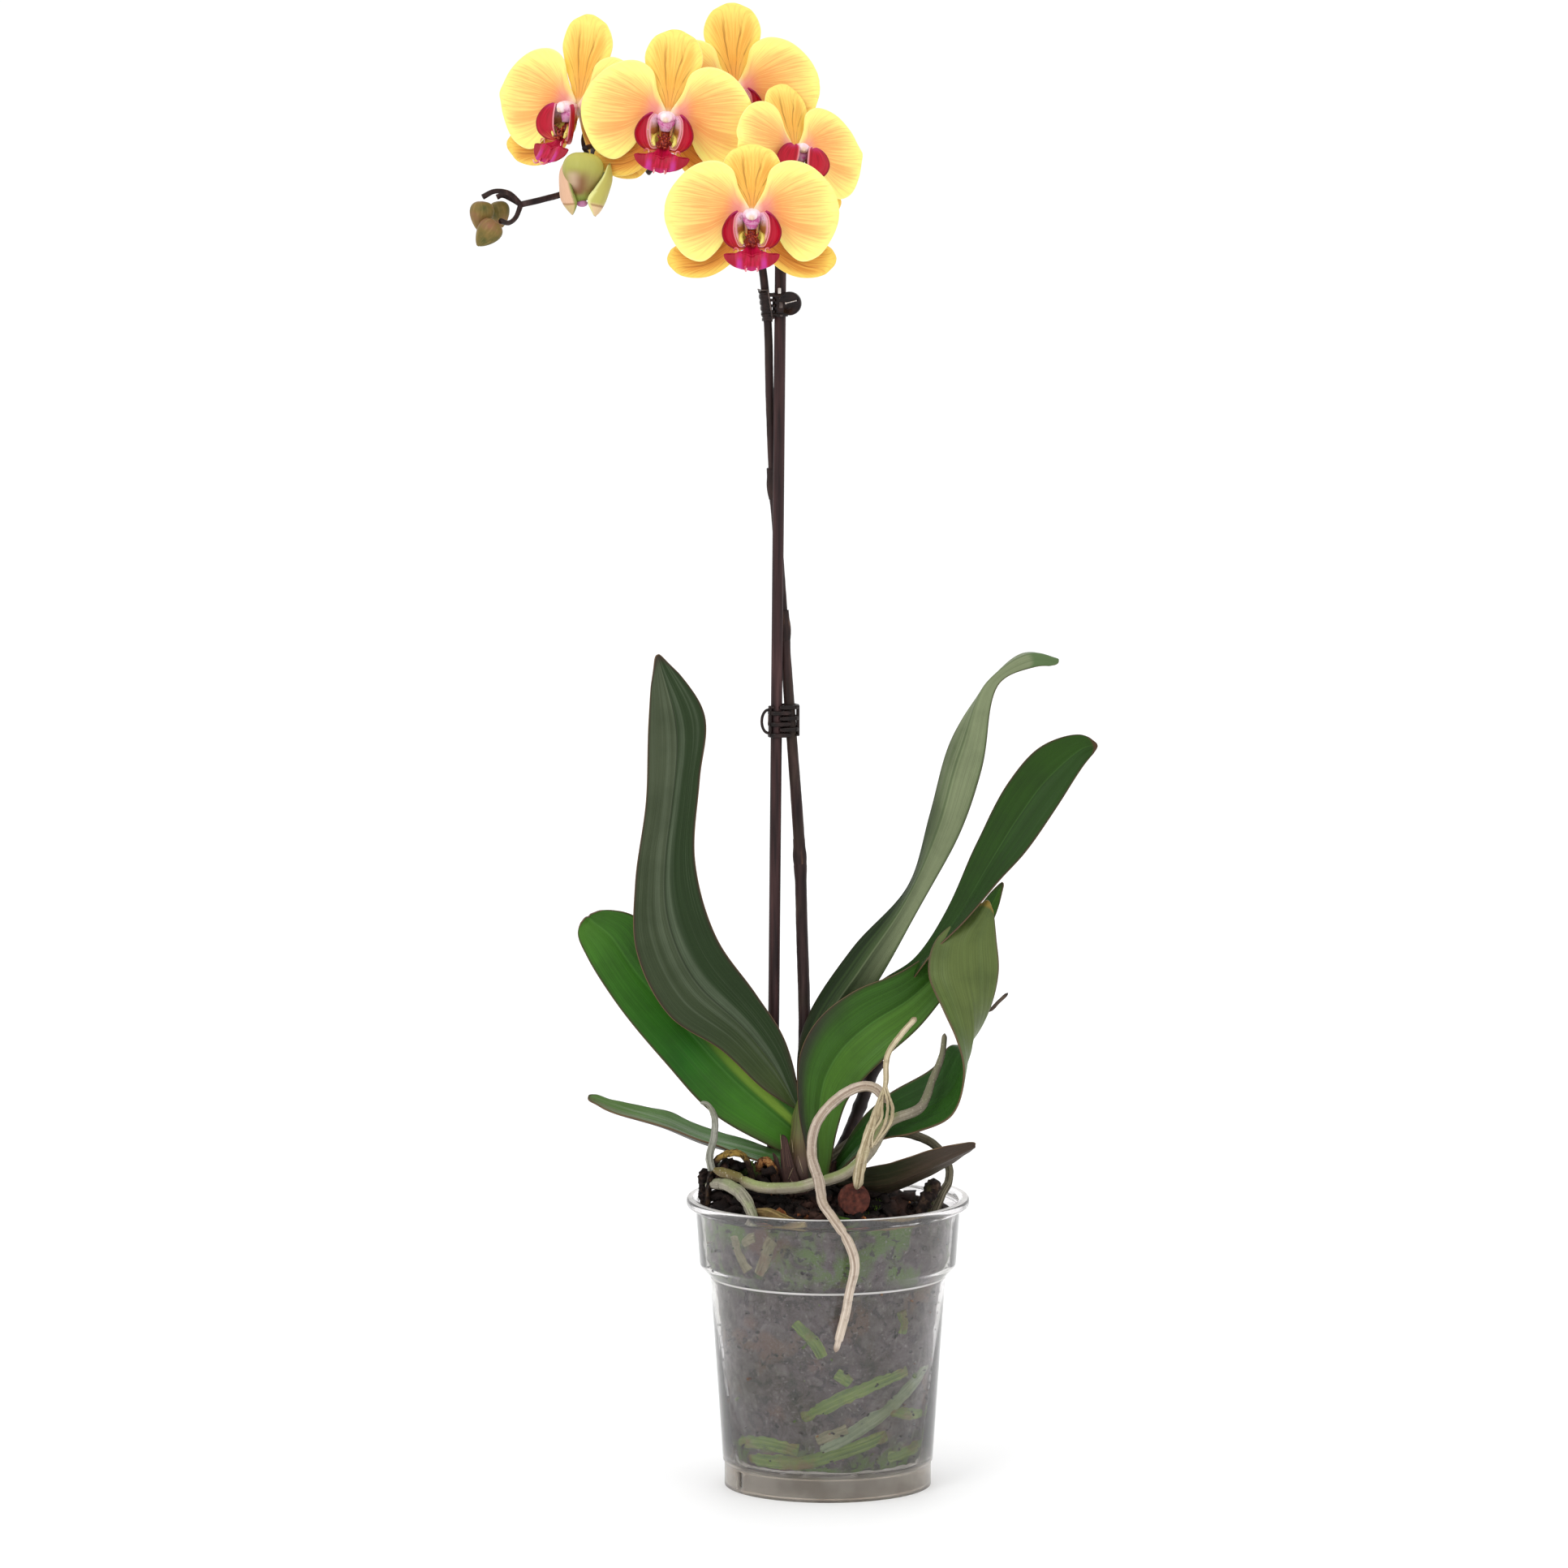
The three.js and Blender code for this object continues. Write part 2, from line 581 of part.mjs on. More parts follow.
function mirrored(margins) {
  const flip = (triple) => [-triple[0], triple[1], triple[2]];
  return [margins[1].map(flip), margins[0].map(flip)];
}

function piece(name, solid, colour, roughness = 0.6) {
  const material = new THREE.MeshStandardMaterial({ color: colour, roughness, metalness: 0 });
  const mesh = new THREE.Mesh(geometryFromSolid(solid), material);
  mesh.name = name;
  return mesh;
}

// The pot

function potProfile() {
  const p = POT;
  const inner = p.wall;
  return [
    [p.footRadius, 0],
    [p.footRadius, p.footHeight - p.footBevel],
    [p.wallBottomRadius, p.footHeight + p.footBevel],
    [p.wallTopRadius, p.wallTopZ],
    [p.ledgeRadius, p.ledgeZ],
    [p.bandTopRadius, p.bandTopZ],
    [p.rimRadius - p.rimRound, p.bandTopZ + p.rimRise / 2],
    [p.rimRadius, p.bandTopZ + p.rimRise],
    [p.rimRadius - p.rimRound, p.rimTopZ - p.rimRound],
    [p.rimRadius - p.rimLip, p.rimTopZ],
    [p.bandTopRadius - inner + p.rimRound, p.rimTopZ - p.rimRound * 2],
    [p.ledgeRadius - inner, p.ledgeZ + p.footBevel],
    [p.wallTopRadius - inner, p.wallTopZ + p.footBevel],
    [p.wallBottomRadius - inner, p.footHeight + inner],
  ];
}

// Radius of the inner wall at a height, for what lies against it.
function innerWallRadius(z) {
  const slope = (POT.wallTopRadius - POT.wallBottomRadius) / (POT.wallTopZ - POT.footHeight);
  if (z < POT.wallTopZ) {
    return POT.wallBottomRadius - POT.wall + slope * (z - POT.footHeight);
  }
  const rise = Math.min(1, (z - POT.wallTopZ) / (POT.ledgeZ - POT.wallTopZ));
  const step = THREE.MathUtils.lerp(POT.wallTopRadius, POT.ledgeRadius, rise) - POT.wall;
  const band = (POT.bandTopRadius - POT.ledgeRadius) / (POT.bandTopZ - POT.ledgeZ);
  return step + Math.max(0, z - POT.ledgeZ) * band;
}

function pot() {
  const outline = potProfile();
  const floor = [
    [0, POT.footHeight + POT.wall],
    [0, POT.footHeight],
    [POT.footRadius - POT.wall, POT.footHeight],
    [POT.footRadius - POT.wall, 0],
  ];
  const points = [...outline, ...floor, outline[0]];
  const lathe = new THREE.LatheGeometry(points.map(([r, z]) => new THREE.Vector2(r, z)), POT.sides);
  lathe.rotateX(Math.PI / 2);
  const cuts = [];
  DRAIN_SLOTS.degrees.forEach((degrees) => {
    const cut = new THREE.BoxGeometry(DRAIN_SLOTS.wide, DRAIN_CUT, DRAIN_SLOTS.high);
    cut.translate(0, -(POT.footRadius - POT.wall / 2), DRAIN_SLOTS.middleZ);
    cut.rotateZ(THREE.MathUtils.degToRad(degrees));
    cuts.push(solidFromGeometry(cut));
  });
  for (let hole = 0; hole < DRAIN_HOLES.count; hole += 1) {
    const { radius, ring, sides, count } = DRAIN_HOLES;
    const cut = new THREE.CylinderGeometry(radius, radius, DRAIN_CUT, sides);
    cut.rotateX(Math.PI / 2);
    cut.translate(ring, 0, POT.footHeight + POT.wall / 2);
    cut.rotateZ((hole / count) * Math.PI * 2);
    cuts.push(solidFromGeometry(cut));
  }
  return cutBy(solidFromGeometry(lathe), cuts);
}

// Bark

// A chip is a box with its corners pushed about.
function barkChip(size, random) {
  const box = new THREE.BoxGeometry(size * (0.8 + random()), size * (0.5 + random() * 0.7), size * 0.5);
  box.deleteAttribute('normal');
  box.deleteAttribute('uv');
  const merged = mergeVertices(box);
  const position = merged.attributes.position;
  for (let corner = 0; corner < position.count; corner += 1) {
    position.setXYZ(
      corner,
      position.getX(corner) * (0.7 + random() * 0.5),
      position.getY(corner) * (0.7 + random() * 0.5),
      position.getZ(corner) * (0.7 + random() * 0.6),
    );
  }
  return merged;
}

function barkTopZ(x, y) {
  const share = Math.min(1, Math.hypot(x, y) / BARK.heapReach);
  const rises = BARK.mounds.map(([atX, atY, wide, high]) => {
    const away = ((x - atX) ** 2 + (y - atY) ** 2) / (2 * wide ** 2);
    return high * Math.exp(-away);
  });
  return THREE.MathUtils.lerp(BARK.heapZ, BARK.edgeZ, share ** BARK.heapSlope) + Math.max(...rises);
}

function ringOf(sides, pointAt) {
  return Array.from({ length: sides }, (_, side) => {
    const angle = (side / sides) * Math.PI * 2;
    return pointAt(Math.cos(angle), Math.sin(angle));
  });
}

function barkMix(random) {
  const bottomZ = POT.footHeight + POT.wall + GAP * 2;
  const side = [bottomZ, ...BARK.sideHeights].map((z) => ringOf(BARK.sideSteps, (across, back) => {
    const radius = innerWallRadius(z) - BARK.wallClearance - random() * BARK.sideRoughness;
    return new THREE.Vector3(across * radius, back * radius, z);
  }));
  const heap = BARK.heapRings.map(({ radius, below }, index) => ringOf(BARK.heapSides, (across, back) => {
    const x = across * radius;
    const y = back * radius;
    const z = index < 2 ? BARK.edgeZ - below : barkTopZ(x, y) - below;
    return new THREE.Vector3(x, y, z);
  }));
  const chips = [];
  for (let index = 0; index < BARK.chips; index += 1) {
    const radius = Math.sqrt((index + 0.5) / BARK.chips) * BARK.chipReach;
    const x = Math.cos(index * GOLDEN_ANGLE) * radius;
    const y = Math.sin(index * GOLDEN_ANGLE) * radius;
    const chip = barkChip(BARK.chipSize, random);
    chip.rotateX((random() - 0.5) * BARK.chipTurn);
    chip.rotateY((random() - 0.5) * BARK.chipTurn);
    chip.rotateZ(random() * Math.PI * 2);
    chip.translate(x, y, barkTopZ(x, y) - BARK.chipSink * (1 + random()));
    chips.push(solidFromGeometry(chip));
  }
  return fuse([loft(side), loft(heap), ...chips]);
}

function barkPiece({ route, broad, thick }, random, grow = 0) {
  const curve = curveThrough(route);
  const steps = route.length + 1;
  const rings = [];
  for (let step = 0; step <= steps; step += 1) {
    const t = step / steps;
    const centre = curve.getPoint(t);
    const along = curve.getTangent(t);
    const out = new THREE.Vector3(0, 1, 0);
    const side = out.clone().cross(along).normalize();
    const rough = 0.8 + random() * 0.4;
    rings.push(BARK_SECTION.map(([a, b]) => {
      const point = centre.clone().addScaledVector(out, a * (broad * rough + grow));
      return point.addScaledVector(side, b * (thick * rough + grow));
    }));
  }
  return loft(rings);
}

function clayDisc(grow = 0) {
  const disc = CLAY_DISC;
  const radius = disc.radius + grow;
  const thick = disc.thickness + grow * 2;
  const body = new THREE.CylinderGeometry(radius * disc.backShare, radius, thick, disc.sides);
  body.rotateZ(disc.tilt);
  body.translate(...disc.centre);
  return solidFromGeometry(body);
}

// Stem, spike and stake

function crown(grow = 0) {
  const rings = CROWN.map(({ centre, across, deep }) => ringOf(CROWN_SIDES, (right, back) => {
    const x = centre[0] + right * (across + grow);
    const y = centre[1] + back * (deep + grow);
    return new THREE.Vector3(x, y, centre[2]);
  }));
  rings[rings.length - 1].forEach((point) => { point.z += grow; });
  return loft(rings);
}

function stake(grow = 0) {
  const foot = vector(STAKE.foot);
  const tip = vector(STAKE.tip);
  const along = tip.clone().sub(foot).normalize();
  foot.addScaledVector(along, -grow);
  tip.addScaledVector(along, grow);
  return rod(new THREE.LineCurve3(foot, tip), () => STAKE.radius + grow, STAKE_SIDES, 1);
}

function spikeRadius(t) {
  const base = alongList(SPIKE_RADII, t);
  const swell = SPIKE_NODES.reduce((value, node) => {
    const near = Math.exp(-(((t - node.along) / NODE_LENGTH) ** 2));
    return Math.max(value, 1 + (node.swell - 1) * near);
  }, 1);
  return Math.min(base * swell, SPIKE_RADIUS * 1.2);
}

function spikeSolid(grow = 0) {
  return rod(curveThrough(SPIKE), (t) => spikeRadius(t) + grow, SPIKE_SIDES, SPIKE_STEPS);
}

function oldSpike(grow = 0) {
  return rod(curveThrough(OLD_SPIKE), () => OLD_SPIKE_RADIUS + grow, 8, 8);
}

function stalk(triples) {
  return rod(curveThrough(triples), () => PEDICEL_RADIUS, 4, 4);
}

// A short scale that sheathes a node of the spike.
function bract(t) {
  const curve = curveThrough(SPIKE);
  const foot = curve.getPointAt(t - BRACT.foot);
  const end = curve.getPointAt(t + BRACT.end);
  const along = end.clone().sub(foot).normalize();
  const body = new THREE.ConeGeometry(SPIKE_RADIUS * BRACT.flare, foot.distanceTo(end), BRACT.sides);
  body.translate(0, foot.distanceTo(end) / 2, 0);
  const turn = new THREE.Quaternion().setFromUnitVectors(new THREE.Vector3(0, 1, 0), along);
  body.applyQuaternion(turn);
  body.translate(foot.x, foot.y, foot.z);
  return solidFromGeometry(body);
}

// A bloom and its place. The pedicel ends behind the hub, a gap away from it.

function bloomFrame({ centre, turn, lift, lean }) {
  const turned = new THREE.Group();
  turned.position.set(...centre);
  turned.rotation.z = THREE.MathUtils.degToRad(turn);
  const faced = new THREE.Group();
  const upright = Math.PI / 2 - THREE.MathUtils.degToRad(lift);
  faced.rotation.set(upright, 0, THREE.MathUtils.degToRad(lean));
  turned.add(faced);
  turned.updateMatrixWorld(true);
  return { turned, faced };
}

function pedicelRoute(bloom) {
  const { faced } = bloomFrame(bloom);
  const start = curveThrough(SPIKE).getPointAt(bloom.stalk);
  const end = faced.localToWorld(new THREE.Vector3(0, 0, (HUB.back - GAP / bloom.size) * bloom.size));
  const before = faced.localToWorld(new THREE.Vector3(0, -1, (HUB.back - 5) * bloom.size));
  return [start.toArray(), bloom.via, before.toArray(), end.toArray()];
}

function tepalBlade({ crown: bulge, rows, columns }, margins) {
  const rib = TEPAL_THICKNESS;
  return blade({ margins, bulge: () => bulge, rib, edge: TEPAL_EDGE, rows, columns });
}

function scaled(margins, across, up) {
  return margins.map((margin) => margin.map(([x, y, z]) => [x * across, y * up, z]));
}

function tepals({ hood, spread }) {
  const upper = scaled(DORSAL_SEPAL.margins, 1, hood);
  const lower = scaled(LATERAL_SEPAL.margins, spread, 1);
  const hub = new THREE.CylinderGeometry(HUB.radius, HUB.backRadius, HUB.front - HUB.back, HUB.sides);
  hub.rotateX(Math.PI / 2);
  hub.translate(0, -HUB.drop, (HUB.front + HUB.back) / 2);
  return fuse([
    solidFromGeometry(hub),
    tepalBlade(DORSAL_SEPAL, upper),
    tepalBlade(LATERAL_SEPAL, lower),
    tepalBlade(LATERAL_SEPAL, mirrored(lower)),
    tepalBlade(PETAL, PETAL.margins),
    tepalBlade(PETAL, mirrored(PETAL.margins)),
  ]);
}

function lipBlade(lobe, margins) {
  return blade({ ...LIP_BLADE, margins, bulge: () => lobe.crown });
}

function lip() {
  const callus = new THREE.SphereGeometry(CALLUS.radius, 6, 3);
  callus.scale(...CALLUS.stretch);
  callus.translate(...CALLUS.centre);
  const tail = CIRRUS.map(([x, y, z]) => [-x, y, z]);
  return fuse([
    rod(curveThrough(CLAW), () => CLAW_RADIUS, 5, 1),
    solidFromGeometry(callus),
    lipBlade(SIDE_LOBE, SIDE_LOBE.margins),
    lipBlade(SIDE_LOBE, mirrored(SIDE_LOBE.margins)),
    lipBlade(MID_LOBE, MID_LOBE.margins),
    rod(curveThrough(CIRRUS), (t) => alongList(CIRRUS_RADII, t), 3, 3),
    rod(curveThrough(tail), (t) => alongList(CIRRUS_RADII, t), 3, 3),
  ]);
}

function column() {
  return rod(curveThrough(COLUMN), (t) => alongList(COLUMN_RADII, t), 7, 4);
}

function bloomGroup(name, bloom) {
  const { turned, faced } = bloomFrame(bloom);
  faced.scale.setScalar(bloom.size);
  faced.add(piece(`${name}_tepals`, tepals(bloom), COLOURS.tepal));
  faced.add(piece(`${name}_lip`, lip(), COLOURS.lip));
  faced.add(piece(`${name}_column`, column(), COLOURS.column));
  return turned;
}

// Buds

function bud({ top, bottom, radius, sides }) {
  const curve = new THREE.LineCurve3(vector(top), vector(bottom));
  const steps = BUD_PROFILE.length - 1;
  const along = vector(bottom).sub(vector(top)).normalize();
  const across = new THREE.Vector3(0, 1, 0).cross(along).normalize();
  const deep = along.clone().cross(across);
  const rings = [];
  for (let step = 0; step <= steps; step += 1) {
    const centre = curve.getPoint(step / steps);
    const ring = [];
    for (let side = 0; side < sides; side += 1) {
      const angle = (side / sides) * Math.PI * 2;
      const ridge = 1 + BUD_RIDGE * Math.cos(angle * 3);
      const reach = radius * BUD_PROFILE[step] * ridge;
      const point = centre.clone().addScaledVector(across, Math.cos(angle) * reach);
      ring.push(point.addScaledVector(deep, Math.sin(angle) * reach * BUD_DEPTH));
    }
    rings.push(ring);
  }
  return loft(rings);
}

function openingBud(spec) {
  const flaps = BUD_FLAPS.map((route) => {
    const radiusAt = (t) => alongList(BUD_FLAP_RADII, t);
    return rod(curveThrough(route), radiusAt, 6, 4);
  });
  return fuse([bud(spec), ...flaps]);
}

// Clips

function clip({ z, fingers, fingerHeight, tab }) {
  const spikeAt = spikeCentreAt(z);
  const share = (z - STAKE.foot[2]) / (STAKE.tip[2] - STAKE.foot[2]);
  const stakeAt = vector(STAKE.foot).lerp(vector(STAKE.tip), share);
  const rods = [new THREE.Vector2(stakeAt.x, stakeAt.y), new THREE.Vector2(spikeAt.x, spikeAt.y)];
  const middle = rods[0].clone().add(rods[1]).multiplyScalar(0.5);
  const reach = rods[0].distanceTo(rods[1]) / 2;
  const tilt = Math.atan2(rods[1].y - rods[0].y, rods[1].x - rods[0].x);
  const inner = SPIKE_RADIUS + GAP;
  const outer = inner + CLIP_WALL;
  const height = fingers * fingerHeight;
  const solids = [];
  for (let finger = 0; finger < fingers; finger += 1) {
    const towards = finger % 2 === 0 ? 1 : -1;
    const ring = stadiumRing(reach, inner, outer, towards, fingerHeight - FINGER_GAP);
    ring.translate(0, 0, finger * fingerHeight - height / 2);
    solids.push(solidFromGeometry(ring));
  }
  const spine = new THREE.BoxGeometry(reach * 2, CLIP_WALL, height - FINGER_GAP);
  spine.translate(0, inner + CLIP_WALL / 2, -FINGER_GAP / 2);
  solids.push(solidFromGeometry(spine));
  const body = fuse([...solids, ...clipTab(tab, reach + outer, height)]);
  const turned = body.rotate([0, 0, THREE.MathUtils.radToDeg(tilt)]);
  const placed = turned.translate([middle.x, middle.y, z]);
  return cutBy(placed, [spikeSolid(GAP), stake(GAP)]);
}

// The spike's centre at a height, below the arch.
function spikeCentreAt(z) {
  const curve = curveThrough(SPIKE);
  let best = curve.getPoint(0);
  for (let step = 0; step <= 400; step += 1) {
    const point = curve.getPoint((step / 400) * 0.6);
    if (Math.abs(point.z - z) < Math.abs(best.z - z)) {
      best = point;
    }
  }
  return best;
}

// One finger: a flat ring round both rods, open over a part of its front.
function stadiumRing(reach, inner, outer, towards, height) {
  const shape = new THREE.Shape();
  const open = reach * FINGER_OPENING;
  shape.moveTo(open, -outer);
  shape.lineTo(-reach, -outer);
  shape.absarc(-reach, 0, outer, -Math.PI / 2, Math.PI / 2, true);
  shape.lineTo(reach, outer);
  shape.lineTo(reach, inner);
  shape.lineTo(-reach, inner);
  shape.absarc(-reach, 0, inner, Math.PI / 2, -Math.PI / 2, false);
  shape.lineTo(open, -inner);
  const ring = new THREE.ExtrudeGeometry(shape, { depth: height, bevelEnabled: false, curveSegments: 3 });
  if (towards < 0) {
    ring.rotateY(Math.PI);
    ring.translate(0, 0, height);
  }
  return ring;
}

function clipTab(kind, reach, height) {
  if (kind === 'loop') {
    const tab = LOOP_TAB;
    const outline = new THREE.Shape();
    outline.moveTo(tab.root, tab.root - height / 2);
    outline.lineTo(tab.root, height / 2 - tab.trim);
    outline.absarc(tab.bend, 0, height / 2 - tab.trim, Math.PI / 2, -Math.PI / 2, false);
    const hole = new THREE.Path();
    hole.absarc(tab.holeAt, 0, height / 2 - tab.holeTrim, 0, Math.PI * 2, true);
    outline.holes.push(hole);
    const options = { depth: tab.thickness, bevelEnabled: false, curveSegments: 5 };
    const loop = new THREE.ExtrudeGeometry(outline, options);
    loop.rotateX(Math.PI / 2);
    loop.translate(-reach, tab.thickness / 2, 0);
    return [solidFromGeometry(loop)];
  }
  const tab = DISC_TAB;
  const disc = new THREE.CylinderGeometry(tab.radius, tab.radius, tab.thickness, tab.sides);
  disc.translate(-reach - tab.offset, 0, 0);
  const slit = new THREE.BoxGeometry(...tab.slit);
  slit.translate(-reach - tab.slitAt, 0, 0);
  return [solidFromGeometry(disc).subtract(solidFromGeometry(slit))];
}

// Roots

function rootSolid({ route, radii }, grow = 0) {
  const curve = curveThrough(route);
  const steps = Math.max(5, Math.round(curve.getLength() / ROOT_STEP));
  return rod(curve, (t) => alongList(radii, t) + grow, ROOT_SIDES, steps);
}

function wallRoot({ route, radius }, grow = 0) {
  const points = route.map(([degrees, z]) => {
    const angle = THREE.MathUtils.degToRad(degrees);
    const reach = innerWallRadius(z) - radius - WALL_ROOT_CLEARANCE;
    return [Math.sin(angle) * reach, -Math.cos(angle) * reach, z];
  });
  const curve = curveThrough(points);
  const steps = Math.max(4, Math.round(curve.getLength() / ROOT_STEP));
  const radiusAt = (t) => radius * Math.sqrt(1 - WALL_ROOT_TAPER * Math.abs(t * 2 - 1) ** 4) + grow;
  return rod(curve, radiusAt, ROOT_SIDES, steps);
}

// The whole plant

const random = seededRandom(11);
const pieces = [];
const solids = {};

function add(name, solid, colour, roughness) {
  solids[name] = solid;
  pieces.push(piece(name, solid, colour, roughness));
}

function leafBlade({ margins, keel, rows = LEAF_ROWS }, grow = 0) {
  const bulge = (width) => width * keel;
  return blade({ margins, bulge, rib: LEAF_RIB, edge: LEAF_EDGE, rows, columns: LEAF_COLUMNS, grow });
}

add('pot', pot(), COLOURS.pot, 0.3);
add('stake', stake(), COLOURS.stake);
add('crown', cutBy(crown(), [stake(GAP)]), COLOURS.sheath);

const spikeParts = [
  spikeSolid(),
  ...SPIKE_NODES.map((node) => bract(node.along)),
  ...Object.values(BLOOMS).map((bloom) => stalk(pedicelRoute(bloom))),
  ...Object.values(BUD_STALKS).map(stalk),
];
add('flower_spike', cutBy(fuse(spikeParts), [crown(GAP)]), COLOURS.spike);
add('old_spike', cutBy(oldSpike(), [crown(GAP)]), COLOURS.spike);

// Leaves are cut back to the stem and to the leaves already placed, in this order.
const leafOrder = [
  'leaf_right_front',
  'leaf_left_tall',
  'leaf_right_curled',
  'leaf_left_broad',
  'leaf_right_tall',
  'leaf_right_far',
  'leaf_right_low',
  'leaf_left_low',
];
const cleared = [crown(GAP), stake(GAP), spikeSolid(GAP), oldSpike(GAP)];
leafOrder.forEach((name) => {
  const colour = LEAVES[name].keel > 0 ? COLOURS.leafUnder : COLOURS.leaf;
  add(name, cutBy(leafBlade(LEAVES[name]), cleared), colour, 0.35);
  cleared.push(leafBlade(LEAVES[name], GAP));
});

// Roots are cut back to the leaves and to the roots already placed.
const rootOrder = [
  'root_shrivelled',
  'root_long_front',
  'root_hanging_front',
  'root_left_upright',
  'root_left_rim',
  'root_right_back',
  'root_front_sunk',
  'root_front_right',
  'root_dry',
];
cleared.push(clayDisc(GAP));
rootOrder.forEach((name) => {
  add(name, cutBy(rootSolid(ROOTS[name]), cleared), COLOURS.root);
  cleared.push(rootSolid(ROOTS[name], GAP));
});
add('clay_disc', clayDisc(), COLOURS.clay);

Object.entries(BARK_PIECES).forEach(([name, spec], index) => {
  const colour = name === 'bark_orange' ? COLOURS.barkLight : COLOURS.bark;
  add(name, cutBy(barkPiece(spec, seededRandom(30 + index)), cleared), colour, 0.9);
  cleared.push(barkPiece(spec, seededRandom(30 + index), GAP));
});

const wallRootCuts = Object.entries(WALL_ROOTS).map(([name, spec]) => {
  add(name, wallRoot(spec), COLOURS.rootGreen);
  return wallRoot(spec, GAP);
});
add('bark_mix', cutBy(barkMix(random), [...cleared, ...wallRootCuts]), COLOURS.bark, 0.9);

Object.entries(CLIPS).forEach(([name, spec]) => add(name, clip(spec), COLOURS.clip, 0.4));
Object.entries(BUDS).forEach(([name, spec]) => {
  add(name, name === 'bud_opening' ? openingBud(spec) : bud(spec), COLOURS.bud);
});

const orchid = new THREE.Group();
const plant = new THREE.Group();
plant.add(...pieces);
Object.entries(BLOOMS).forEach(([name, bloom]) => plant.add(bloomGroup(name, bloom)));
orchid.add(plant);

// The origin is the middle of the footprint of the whole plant, on the floor.
orchid.updateMatrixWorld(true);
const box = new THREE.Box3().setFromObject(orchid, true);
plant.position.set(-(box.min.x + box.max.x) / 2, -(box.min.y + box.max.y) / 2, 0);
orchid.updateMatrixWorld(true);

export default orchid;
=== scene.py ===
import math
import random

import bmesh
import bpy
from mathutils import Matrix, Vector, noise


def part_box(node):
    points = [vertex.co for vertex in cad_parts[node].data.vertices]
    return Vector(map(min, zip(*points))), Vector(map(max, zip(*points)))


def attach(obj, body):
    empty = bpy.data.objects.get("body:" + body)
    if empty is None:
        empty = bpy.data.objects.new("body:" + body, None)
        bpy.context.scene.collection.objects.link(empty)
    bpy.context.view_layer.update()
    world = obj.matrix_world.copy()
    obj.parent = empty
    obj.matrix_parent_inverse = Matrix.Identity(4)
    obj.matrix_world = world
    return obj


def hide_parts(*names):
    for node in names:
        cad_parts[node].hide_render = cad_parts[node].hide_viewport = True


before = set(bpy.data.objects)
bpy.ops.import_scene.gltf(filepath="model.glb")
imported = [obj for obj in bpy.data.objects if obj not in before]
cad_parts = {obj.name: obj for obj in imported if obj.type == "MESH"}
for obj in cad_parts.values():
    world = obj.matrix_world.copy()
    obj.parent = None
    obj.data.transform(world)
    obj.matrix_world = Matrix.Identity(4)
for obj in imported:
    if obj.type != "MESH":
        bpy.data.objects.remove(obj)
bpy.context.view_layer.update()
print("frame loaded:", len(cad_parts), "solids")

# Everything below is made in the pot's own frame, in millimetres: the axis of the pot is
# X = Y = 0, the floor is Z = 0 and the front faces -Y. finishPiece brings it to metres.
potBox = [Vector(corner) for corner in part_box("pot")]
potAxis = (potBox[0] + potBox[1]) / 2
potAxis.z = 0
toMetres = Matrix.Translation(potAxis) @ Matrix.Scale(0.001, 4)
frontward = Vector((0, -1, 0))


# Routes and shapes

def routePoint(route, t):
    # a smooth curve through the points
    place = min(max(t, 0), 1) * (len(route) - 1)
    first = min(int(place), len(route) - 2)
    share = place - first
    b, c = route[first], route[first + 1]
    a = route[first - 1] if first > 0 else b * 2 - c
    d = route[first + 2] if first + 2 < len(route) else c * 2 - b
    ab, bc, cd = (max((q - p).length, 1e-6) ** 0.5 for p, q in ((a, b), (b, c), (c, d)))
    leave = ((b - a) / ab - (c - a) / (ab + bc) + (c - b) / bc) * bc
    arrive = ((c - b) / bc - (d - b) / (bc + cd) + (d - c) / cd) * bc
    bend = (c - b) * 3 - leave * 2 - arrive
    settle = (b - c) * 2 + leave + arrive
    return b + leave * share + bend * share ** 2 + settle * share ** 3


def evenRoute(points, steps):
    # points at even distances along the curve
    route = [Vector(point) for point in points]
    samples = 400
    fine = [routePoint(route, n / samples) for n in range(samples + 1)]
    reach = [0]
    for a, b in zip(fine, fine[1:]):
        reach.append(reach[-1] + (b - a).length)
    spaced = []
    index = 0
    for step in range(steps + 1):
        goal = reach[-1] * step / steps
        while index < samples - 1 and reach[index + 1] < goal:
            index += 1
        span = max(reach[index + 1] - reach[index], 1e-6)
        spaced.append(fine[index].lerp(fine[index + 1], (goal - reach[index]) / span))
    return spaced


def along(values, t):
    # the value of a list at t from 0 to 1
    place = min(max(t, 0), 1) * (len(values) - 1)
    index = min(int(place), len(values) - 2)
    share = place - index
    share = share * share * (3 - 2 * share)
    return values[index] * (1 - share) + values[index + 1] * share


def newPart():
    part = bmesh.new()
    part.loops.layers.uv.new("UVMap")
    part.verts.layers.deform.new()
    return part


def paint(part, finish):
    for face in part.faces:
        face.material_index = finish
    return part


def closeUp(part, finish=0, dist=1e-4):
    # joins the seam and closes the ends
    bmesh.ops.remove_doubles(part, verts=part.verts, dist=dist)
    bmesh.ops.holes_fill(part, edges=[edge for edge in part.edges if edge.is_boundary], sides=0)
    bmesh.ops.recalc_face_normals(part, faces=part.faces)
    return paint(part, finish)


